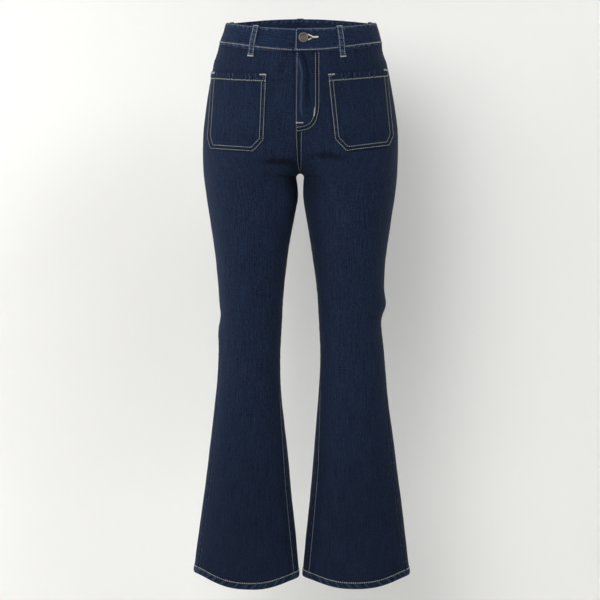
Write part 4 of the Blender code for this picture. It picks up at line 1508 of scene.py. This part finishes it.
def inset_line(shape, inset, mouth):
    """Corners of a line a set distance inside an open shape, starting below its mouth."""
    middle = sum(shape) / len(shape)
    across = (shape[-1] - shape[0]) / np.linalg.norm(shape[-1] - shape[0])
    below = (shape[0] + square_way(across, shape[0], middle) * mouth, across)
    sides = [below]
    for start, end in zip(shape[:-1], shape[1:]):
        way = (end - start) / np.linalg.norm(end - start)
        sides.append((start + square_way(way, start, middle) * inset, way))
    sides.append(below)
    corners = []
    for (here, way), (there, other) in zip(sides[:-1], sides[1:]):
        share = np.linalg.solve(np.array([way, -other]).T, there - here)[0]
        corners.append(here + way * share)
    return corners


def band_line(height, first, last, rise=0.0):
    """A line round the waistband that may rise a little from the centre front to the sides."""
    around = np.linspace(first, last, 400)
    grid, _ = belt_grid(around, [height, height + 1])
    away = np.minimum(np.abs(around), waist_length() - around)
    return grid[0] + (grid[1] - grid[0]) * rise * smooth_step(10, 110, away)[:, None]


def fly_curve(corners):
    """A smooth line on the fly through places given as reach and drop."""
    corners = np.array(corners, dtype=float)
    along = lengths(corners)
    table = Table(("along", "reach", "drop"), *np.column_stack([along, corners]))
    wanted = np.linspace(0, along[-1], 120)
    return front_point(table.read("reach", wanted), table.read("drop", wanted))


# ---- Materials ----

class Value:
    """A number in a shader. Sums and products of values add their own Math nodes."""

    def __init__(self, shader, socket):
        self.shader = shader
        self.socket = socket

    def maths(self, operation, *values):
        return self.shader.node("ShaderNodeMath", {"operation": operation}, dict(enumerate(values)))

    def __add__(self, other):
        return self.maths("ADD", self, other)

    def __sub__(self, other):
        return self.maths("SUBTRACT", self, other)

    def __mul__(self, other):
        return self.maths("MULTIPLY", self, other)

    def __truediv__(self, other):
        return self.maths("DIVIDE", self, other)

    def __pow__(self, other):
        return self.maths("POWER", self, other)

    def __radd__(self, other):
        return self.maths("ADD", other, self)

    def __rsub__(self, other):
        return self.maths("SUBTRACT", other, self)

    def __rmul__(self, other):
        return self.maths("MULTIPLY", other, self)

    def sine(self):
        return self.maths("SINE", self)

    def absolute(self):
        return self.maths("ABSOLUTE", self)

    def exponential(self):
        return self.maths("EXPONENT", self)

    def fade(self, low, high):
        """0 below low, 1 above high, and smooth between them."""
        sockets = {"Value": self, "From Min": low, "From Max": high}
        return self.shader.node("ShaderNodeMapRange", {"interpolation_type": "SMOOTHSTEP"}, sockets)


class Shader:
    """The node tree of one material."""

    def __init__(self, name, roughness, metallic=0.0):
        self.material = bpy.data.materials.new(name)
        self.material.use_nodes = True
        self.tree = self.material.node_tree
        self.surface = self.tree.nodes["Principled BSDF"]
        self.surface.inputs["Roughness"].default_value = roughness
        self.surface.inputs["Metallic"].default_value = metallic

    def node(self, kind, settings, sockets, output=0):
        """Adds a node, with its settings first, then the values or links of its sockets."""
        made = self.tree.nodes.new(kind)
        for name, setting in settings.items():
            setattr(made, name, setting)
        for name, value in sockets.items():
            self.feed(made.inputs[name], value)
        return Value(self, made.outputs[output])

    def feed(self, socket, value):
        if isinstance(value, Value):
            self.tree.links.new(value.socket, socket)
        else:
            socket.default_value = value

    def mark(self, name):
        return self.node("ShaderNodeAttribute", {"attribute_name": name}, {}, "Fac")

    def uv(self):
        return self.node("ShaderNodeUVMap", {"uv_map": "cloth"}, {})

    def place(self):
        return self.node("ShaderNodeTexCoord", {}, {}, "Object")

    def stretch(self, vector, scale):
        return self.node("ShaderNodeVectorMath", {"operation": "MULTIPLY"}, {0: vector, 1: scale})

    def streaks(self, vector, wide, tall, detail=2.0, roughness=0.5):
        """Noise whose marks are so many millimetres wide and tall."""
        scaled = self.stretch(vector, (1 / (wide * MM), 1 / (tall * MM), 1))
        return self.noise(scaled, 1.0, detail, roughness)

    def noise(self, vector, scale, detail=2.0, roughness=0.5):
        sockets = {"Vector": vector, "Scale": scale, "Detail": detail, "Roughness": roughness}
        return self.node("ShaderNodeTexNoise", {}, sockets, "Fac")

    def dashes(self, x, y):
        """Separate marks in two directions."""
        vector = self.node("ShaderNodeCombineXYZ", {}, {"X": x, "Y": y})
        return self.noise(vector, 1.0, 2.0, 0.6).fade(0.5, 0.74)

    def parts(self, vector):
        made = self.tree.nodes.new("ShaderNodeSeparateXYZ")
        self.feed(made.inputs[0], vector)
        return [Value(self, made.outputs[index]) for index in range(3)]

    def mix(self, share, first, second):
        """Mixes two colours."""
        sockets = {0: share, 6: first, 7: second}
        return self.node("ShaderNodeMix", {"data_type": "RGBA"}, sockets, 2)

    def bumps(self, height, distance, strength):
        sockets = {"Height": height, "Distance": distance, "Strength": strength}
        return self.node("ShaderNodeBump", {}, sockets)

    def finish(self, sockets):
        """Feeds sockets of the surface and gives the material."""
        for name, value in sockets.items():
            self.feed(self.surface.inputs[name], value)
        return self.material


def rgba(colour, gain=1.0):
    return (*[min(1.0, part * gain) for part in colour[:3]], 1.0)


def denim_material(name, indigo, deep, wear_highlight_and_shade, strength):
    """Indigo twill: fine ribs, slubs down the warp, rubbed edges by the seams, painted shade in hollows and
    along stitches, and painted highlights on fold ridges.
    """
    shader = Shader(name, 0.86)
    uv = shader.uv()
    across, down, _ = shader.parts(uv)
    slub = shader.streaks(uv, 1.7, 45, 1.0, 0.5)
    short_slub = shader.streaks(uv, 1.7, 8, 1.0, 0.6)
    speckle = shader.streaks(uv, 1.9, 2.2, 1.0, 0.6)
    mottle = shader.streaks(uv, 26, 44, 3.0, 0.6)
    rib = (across * 5200 + down * 3000).sine() * 0.5 + 0.5
    # The third mark: rubbed wear and painted highlights above 0, painted shade in hollows and creases below 0
    side_gap, end_gap, rubbed = [shader.mark(mark) for mark in ("side_gap", "end_gap", "wear_highlight_and_shade")]
    beside, below = [(0 - gap / SEAM_FADE).exponential() for gap in (side_gap, end_gap)]
    dashes_side = shader.dashes(side_gap * 70, down * 260)
    dashes_end = shader.dashes(across * 260, end_gap * 70)
    marks = beside * dashes_side + below * dashes_end
    clouds = shader.streaks(uv, 5.5, 8, 2.0, 0.6).fade(0.56, 0.8)
    raised = (rubbed.fade(0.1, 0.9) * 0.7 + marks * 0.45 + clouds * below * 0.5) * strength
    # Painted shade: the cloth is darkened where the mark says it lies in a hollow or crease
    hollow_shade = (0 - rubbed).fade(0.08, 0.9)
    # Painted shade along the rows of stitches: darker between two rows and beside them, where the thread pulls
    # the cloth into a groove
    row = (shader.mark("row_gap") / MM).absolute()
    beside_row = (1.4 - (row - 4.3).absolute()).fade(0, 1.4)
    between = (3.2 - row).fade(0, 1.6) * 0.75 + beside_row * 0.8
    tone = slub * 0.46 + short_slub * 0.44 + speckle * 0.68 + rib * 0.08
    tone = (tone + (mottle - 0.5) * 0.10 - hollow_shade * 0.3 - between * 0.17).fade(0.53, 1.13)
    colour = shader.mix(tone, rgba(deep), rgba(indigo, 1.5))
    # Darker towards the hems, from about half a metre below the waist
    _, _, upward = shader.parts(shader.place())
    colour = shader.mix((-0.54 - upward).fade(0.0, 0.34) * 0.42, colour, rgba(deep, 1.2))
    height = rib * 0.35 + speckle * 0.25 + short_slub * 0.3 + slub * 0.3 + marks * 0.6
    return shader.finish({
        "Base Color": shader.mix(raised.fade(0.0, 1.4), colour, rgba(wear_highlight_and_shade)),
        "Normal": shader.bumps(height, 0.0003, 0.7),
        "Roughness": 0.92 - raised.fade(0, 1.5) * 0.12,
        "Sheen Weight": 0.03,
        "Sheen Roughness": 0.45,
        "Sheen Tint": (0.55, 0.68, 0.9, 1),
        "Specular IOR Level": 0.12,
    })


def inside_material(name, inside, indigo):
    """The weft side of denim: pale, with short indigo dashes."""
    shader = Shader(name, 0.9)
    uv = shader.uv()
    dashes = shader.noise(shader.stretch(uv, (700, 420, 1)), 1.0, 2.0, 0.6).fade(0.42, 0.68)
    colour = shader.mix(dashes * 0.75, rgba(inside), rgba(indigo, 2.0))
    return shader.finish({
        "Base Color": shader.mix(shader.noise(uv, 25) * 0.35, colour, rgba(inside, 0.6)),
        "Normal": shader.bumps(dashes, 0.0003, 0.6),
    })


def thread_material(name, colour):
    """Twisted thread, a little darker in places."""
    shader = Shader(name, 0.62)
    place = shader.place()
    twist = shader.noise(place, 2600, 2.0, 0.6)
    age = shader.noise(place, 140, 2.0, 0.6)
    tone = (twist * 0.6 + age * 0.6).fade(0.35, 0.85)
    return shader.finish({
        "Base Color": shader.mix(tone, rgba(colour, 0.55), rgba(colour, 1.12)),
        "Normal": shader.bumps(twist, 0.0002, 0.7),
    })


def metal_material(name, colour, by_mark):
    """Antique metal, dark in its hollows and brighter where it has rubbed."""
    shader = Shader(name, 0.42, 1.0)
    place = shader.place()
    age = shader.noise(place, 900, 3.0, 0.65)
    rubbed = (shader.mark("wear_highlight_and_shade") if by_mark else age) * 0.8 + (age - 0.5) * 0.5
    return shader.finish({
        "Base Color": shader.mix(rubbed.fade(0.1, 0.85), rgba(colour, 0.2), rgba(colour, 2.7)),
        "Roughness": 0.6 - rubbed.fade(0.1, 0.9) * 0.26,
        "Normal": shader.bumps(shader.noise(place, 3200, 2.0, 0.6), 0.0001, 0.4),
    })


def tape_material(name, colour):
    """Woven tape, in fine crossing ribs."""
    shader = Shader(name, 0.8)
    across, down, _ = shader.parts(shader.uv())
    rows, steps = [value.sine() * 0.5 + 0.5 for value in (across * 9000, down * 7000)]
    weave = rows * 0.6 + steps * 0.4
    return shader.finish({
        "Base Color": shader.mix(weave, rgba(colour, 0.6), rgba(colour, 1.6)),
        "Normal": shader.bumps(weave, 0.0002, 0.6),
    })


def backdrop_material(colour):
    """Plain paper, which can't be seen from its back, so that it hides nothing from a camera behind it."""
    shader = Shader("backdrop", 0.9)
    tone = shader.noise(shader.place(), 1.5)
    behind = shader.node("ShaderNodeNewGeometry", {}, {}, "Backfacing")
    clear = shader.node("ShaderNodeBsdfTransparent", {}, {})
    paper = Value(shader, shader.surface.outputs[0])
    both = shader.node("ShaderNodeMixShader", {}, {0: behind, 1: paper, 2: clear})
    shader.feed(shader.tree.nodes["Material Output"].inputs["Surface"], both)
    return shader.finish({
        "Base Color": shader.mix(tone, rgba(colour, 0.99), rgba(colour, 1.01)),
        "Specular IOR Level": 0.1,
    })


def finish_named(name):
    """A material, made from the scene's colours the first time it is asked for."""
    if name in bpy.data.materials:
        return bpy.data.materials[name]
    colours = bpy.context.scene.jeans_finish
    paler, deep, wear_highlight_and_shade = rgba(colours.indigo, 1.3), colours.deep, colours.wear_highlight_and_shade
    makers = {
        "denim_face": lambda: denim_material(name, colours.indigo, deep, wear_highlight_and_shade, 1.0),
        "denim_band": lambda: denim_material(name, paler, deep, wear_highlight_and_shade, 1.7),
        "denim_inside": lambda: inside_material(name, colours.inside, colours.indigo),
        "topstitch_thread": lambda: thread_material(name, colours.thread),
        "tack_thread": lambda: thread_material(name, colours.tack),
        "eyelet_thread": lambda: thread_material(name, colours.eyelet),
        "button_metal": lambda: metal_material(name, colours.metal, True),
        "zip_metal": lambda: metal_material(name, colours.metal, False),
        "zip_weave": lambda: tape_material(name, colours.tape),
    }
    return makers[name]()


# ---- Operators ----

class JEANS_OT_panels(bpy.types.Operator):
    """Make the fronts, the backs and the yokes"""

    bl_idname = "jeans.panels"
    bl_label = "Fronts, backs and yokes"

    def execute(self, context):
        finishes = finish_named("denim_face"), finish_named("denim_inside")
        for side in SIDES:
            for face in ("front", "back", "yoke"):
                make_panel(side, face, context.scene.jeans_cloth, finishes)
        return {"FINISHED"}


class JEANS_OT_waistband(bpy.types.Operator):
    """Make the waistband with its buttonhole"""

    bl_idname = "jeans.waistband"
    bl_label = "Waistband"

    def execute(self, context):
        make_waistband(context.scene.jeans_cloth, finish_named("denim_band"))
        return {"FINISHED"}


class JEANS_OT_belt_loops(bpy.types.Operator):
    """Make the belt loops"""

    bl_idname = "jeans.belt_loops"
    bl_label = "Belt loops"

    def execute(self, context):
        for name, degrees in LOOPS.items():
            make_belt_loop(name, degrees, finish_named("denim_band"))
        return {"FINISHED"}


class JEANS_OT_pockets(bpy.types.Operator):
    """Make the patch pockets"""

    bl_idname = "jeans.pockets"
    bl_label = "Patch pockets"

    def execute(self, context):
        for name in pocket_names():
            make_pocket(name, context.scene.jeans_cloth, finish_named("denim_face"))
        return {"FINISHED"}


class JEANS_OT_fly(bpy.types.Operator):
    """Make the shield and the zip behind the fly"""

    bl_idname = "jeans.fly"
    bl_label = "Fly"

    def execute(self, context):
        for strip in STRIPS.rows:
            make_strip(*strip)
        make_teeth(finish_named("zip_metal"))
        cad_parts["zip_slider"].material_slots[0].material = finish_named("zip_metal")
        return {"FINISHED"}


class JEANS_OT_button(bpy.types.Operator):
    """Make the shank button"""

    bl_idname = "jeans.button"
    bl_label = "Button"

    def execute(self, context):
        make_button(finish_named("button_metal"))
        return {"FINISHED"}


class JEANS_OT_panel_stitches(bpy.types.Operator):
    """Sew the fly, the seams and the hems"""

    bl_idname = "jeans.panel_stitches"
    bl_label = "Stitches on the panels"

    def execute(self, context):
        hem = context.scene.jeans_cloth.hem / MM
        for side, word in SIDES.items():
            for face in ("front", "back"):
                tree = tree_of(f"cloth_{face}_{word}")
                heights = panel_grid(side, face)[:, 0, 2]
                bm = bmesh.new()
                sew(bm, tree, panel_line("to_hem", hem, side, face, 0.008, 0.992), "hem", HEAVY)
                if face == "front":
                    start = float(np.mean(heights > -CROTCH_DROP - 2))
                    line = panel_line("from_inner", INSEAM_GAPS[side], side, face, start, 0.985)
                    sew(bm, tree, line, "inseam")
                if face == "front" and side == LEFT:
                    for name, corners in FLY_LINES.items():
                        sew(bm, tree, fly_curve(corners), "fly", FLY_WEIGHTS[name])
                if face == "back":
                    for gap in ROWS:
                        sew(bm, tree, panel_line("from_top", gap, side, face), "yoke")
                if face == "back" and side == LEFT:
                    stop = float(np.mean(heights > -CROTCH_DROP))
                    for gap in ROWS:
                        sew(bm, tree, panel_line("from_inner", gap, side, face, 0.0, stop), "back_seat")
                finish_stitches(f"stitches_{face}_{word}", bm)
        tree = tree_of("cloth_yoke_left")
        bm = bmesh.new()
        for gap in ROWS:
            sew(bm, tree, panel_line("from_inner", gap, LEFT, "yoke"), "yoke_seat")
        finish_stitches("stitches_yoke_left", bm)
        return {"FINISHED"}


class JEANS_OT_pocket_stitches(bpy.types.Operator):
    """Sew the patch pockets onto the panels"""

    bl_idname = "jeans.pocket_stitches"
    bl_label = "Stitches on the pockets"

    def execute(self, context):
        for name in pocket_names():
            tree = tree_of(f"cloth_{name}")
            bm = bmesh.new()
            sew(bm, tree, pocket_line(name, ROWS[0], 1.0), "pocket_edge", MEDIUM)
            sew(bm, tree, pocket_line(name, ROWS[1], POCKET_HEM + 1.5), "pocket_inner", MEDIUM)
            sew(bm, tree, mouth_line(name, POCKET_HEM), "pocket_mouth", HEAVY)
            finish_stitches(f"stitches_{name}", bm)
            bm = bmesh.new()
            corners = pocket_inset(name, *POCKET_TACK_INSET)
            way = (corners[-1] - corners[0]) / np.linalg.norm(corners[-1] - corners[0])
            for end, reach in zip((corners[0], corners[-1]), POCKET_TACK_REACHES):
                sew_tack(bm, tree, patch_point(name, end), patch_point(name, end + way * reach))
            finish_stitches(f"tacks_{name}", bm, "tack_thread")
        return {"FINISHED"}


class JEANS_OT_band_stitches(bpy.types.Operator):
    """Sew the waistband, the belt loops, the buttonhole and the bar tacks"""

    bl_idname = "jeans.band_stitches"
    bl_label = "Stitches on the waistband"

    def execute(self, context):
        sew_waistband()
        sew_loops_and_tacks()
        sew_buttonhole()
        return {"FINISHED"}


def sew_waistband():
    tree = tree_of("cloth_waistband")
    half = BAND_HEIGHT / 2
    first, last = -BAND_LAP + 2, waist_length() - BAND_LAP - 1
    bm = bmesh.new()
    sew(bm, tree, band_line(BAND_FOOT_ROW - half, first, last, BAND_FOOT_RISE), "band_foot", HEAVY)
    sew(bm, tree, band_line(half - BAND_TOP_ROW, first, last), "band_top")
    around = np.array([-BAND_LAP + 1.9, -BAND_LAP + 3])
    grid, _ = belt_grid(around, np.linspace(half - 2.5, -half + 2.8, 40))
    sew(bm, tree, grid[:, 0], "band_end")
    finish_stitches("stitches_waistband", bm)


def sew_loops_and_tacks():
    loops, tacks = bmesh.new(), bmesh.new()
    both_ways = np.array([-1, 1])
    for name, degrees in LOOPS.items():
        tree = tree_of(f"cloth_{name}")
        middle = loop_middle(degrees)
        around = middle + both_ways * (LOOP_WIDTH / 2 - LOOP_ROW)
        grid, normal = belt_grid(around, np.linspace(*LOOP_ROW_HEIGHTS, 40))
        grid = grid + LOOP_ROW_STAND * normal
        for index, row in enumerate(("loop_first", "loop_second")):
            sew(loops, tree, grid[:, index], row, MEDIUM)
        around = middle + both_ways * (LOOP_WIDTH / 2 - LOOP_TACK_INSET)
        for height, part in LOOP_TACKS:
            ends, normal = belt_grid(around, [height, height - 1])
            ends = ends + LOOP_TACK_STAND * normal
            width = bpy.context.scene.jeans_thread.tack_height * part
            sew_tack(tacks, tree, ends[0, 0], ends[0, 1], width)
    finish_stitches("stitches_belt_loops", loops)
    for start, end in FLY_TACKS:
        sew_tack(tacks, tree_of("cloth_front_left"), front_point(*start), front_point(*end), NARROW_TACK)
    finish_stitches("tacks_loops_and_fly", tacks, "tack_thread")


def sew_buttonhole():
    tree = tree_of("cloth_waistband")
    bm = bmesh.new()
    for start, end, width in EYELET_TACKS:
        sew_tack(bm, tree, front_point(*start), front_point(*end), width)
    finish_stitches("buttonhole_stitches", bm, "eyelet_thread")


class JEANS_OT_stage(bpy.types.Operator):
    """Set up the backdrop, the lights and the camera"""

    bl_idname = "jeans.stage"
    bl_label = "Studio"

    def execute(self, context):
        make_backdrop(context.scene.jeans_finish.backdrop)
        make_room(context.scene.jeans_finish.backdrop)
        make_lights()
        make_camera()
        return {"FINISHED"}


def make_backdrop(colour):
    """A floor that curves up into a wall close behind the garment, which takes its soft shadow."""
    bm = bmesh.new()
    profile = [(STAGE_FRONT, 0.0)]
    for angle in np.linspace(0, math.pi / 2, SWEEP_POINTS):
        back = WALL_PLACE - SWEEP * (1 - math.sin(angle))
        profile.append((back, SWEEP * (1 - math.cos(angle))))
    profile.append((WALL_PLACE, WALL_HEIGHT))
    verts = [bm.verts.new((-STAGE_HALF, y, z + FLOOR)) for y, z in profile]
    lines = [bm.edges.new(pair) for pair in zip(verts[:-1], verts[1:])]
    made = bmesh.ops.extrude_edge_only(bm, edges=lines)
    moved = [item for item in made["geom"] if isinstance(item, bmesh.types.BMVert)]
    bmesh.ops.translate(bm, verts=moved, vec=(2 * STAGE_HALF, 0, 0))
    bm.normal_update()
    if sum(face.normal.z for face in bm.faces) < 0:
        bmesh.ops.reverse_faces(bm, faces=bm.faces[:])
    floor = fresh_object("studio_backdrop", bm, backdrop_material(colour))
    floor.data.shade_smooth()
    floor.visible_shadow = False


def make_room(colour):
    """A pale room all round, which cameras see past the backdrop's edges and which lights nothing."""
    bm = bmesh.new()
    bmesh.ops.create_uvsphere(bm, u_segments=48, v_segments=24, radius=ROOM)
    bmesh.ops.reverse_faces(bm, faces=bm.faces[:])
    finish = Shader("room", 1.0).finish({
        "Base Color": (0, 0, 0, 1),
        "Specular IOR Level": 0,
        "Emission Color": rgba(colour, 0.8),
        "Emission Strength": 1,
    })
    room = fresh_object("studio_room", bm, finish)
    room.data.shade_smooth()
    room.visible_diffuse = room.visible_glossy = room.visible_shadow = False


def stand(name, data, place, target):
    """A lamp or camera in its place, turned towards a target."""
    piece = bpy.data.objects.new(name, data)
    piece.location = place
    piece.rotation_euler = (Vector(target) - Vector(place)).to_track_quat("-Z", "Y").to_euler()
    bpy.context.scene.collection.objects.link(piece)
    return piece


def make_lights():
    for name, place, size, power, colour in LIGHTS:
        light = bpy.data.lights.new(name, "AREA")
        light.shape = "DISK"
        light.size = size
        light.energy = power
        light.color = colour
        stand(name, light, place, LIGHTS_AIM)
    world = bpy.data.worlds.new("studio")
    world.use_nodes = True
    world.node_tree.nodes["Background"].inputs["Color"].default_value = (1, 1, 1, 1)
    world.node_tree.nodes["Background"].inputs["Strength"].default_value = 0.03
    bpy.context.scene.world = world
    bpy.context.scene.view_settings.view_transform = "Standard"


def make_camera():
    camera = bpy.data.cameras.new("camera")
    camera.sensor_width = 36
    camera.lens = CAMERA_LENS
    camera.clip_end = 50
    bpy.context.scene.camera = stand("camera", camera, CAMERA_PLACE, CAMERA_AIM)


class JEANS_PT_sidebar(bpy.types.Panel):
    """Sizes, colours and steps of the jeans"""

    bl_idname = "JEANS_PT_sidebar"
    bl_label = "Bootcut jeans"
    bl_space_type = "VIEW_3D"
    bl_region_type = "UI"
    bl_category = "Jeans"

    def draw(self, context):
        for group in ("jeans_cloth", "jeans_thread", "jeans_finish"):
            box = self.layout.box()
            settings = getattr(context.scene, group)
            for name in settings.bl_rna.properties.keys():
                if name not in ("rna_type", "name"):
                    box.prop(settings, name)
        for operator in OPERATORS:
            self.layout.operator(operator.bl_idname)


OPERATORS = (
    JEANS_OT_panels,
    JEANS_OT_waistband,
    JEANS_OT_belt_loops,
    JEANS_OT_pockets,
    JEANS_OT_fly,
    JEANS_OT_button,
    JEANS_OT_panel_stitches,
    JEANS_OT_pocket_stitches,
    JEANS_OT_band_stitches,
    JEANS_OT_stage,
)
GROUPS = {"jeans_cloth": JeansCloth, "jeans_thread": JeansThread, "jeans_finish": JeansFinish}


def register():
    for kind in (*GROUPS.values(), *OPERATORS, JEANS_PT_sidebar):
        bpy.utils.register_class(kind)
    for name, kind in GROUPS.items():
        setattr(bpy.types.Scene, name, bpy.props.PointerProperty(type=kind))


def unregister():
    for name in GROUPS:
        delattr(bpy.types.Scene, name)
    for kind in reversed((*GROUPS.values(), *OPERATORS, JEANS_PT_sidebar)):
        bpy.utils.unregister_class(kind)


def main():
    register()
    for operator in OPERATORS:
        group, name = operator.bl_idname.split(".")
        getattr(getattr(bpy.ops, group), name)()


if __name__ == "__main__":
    main()
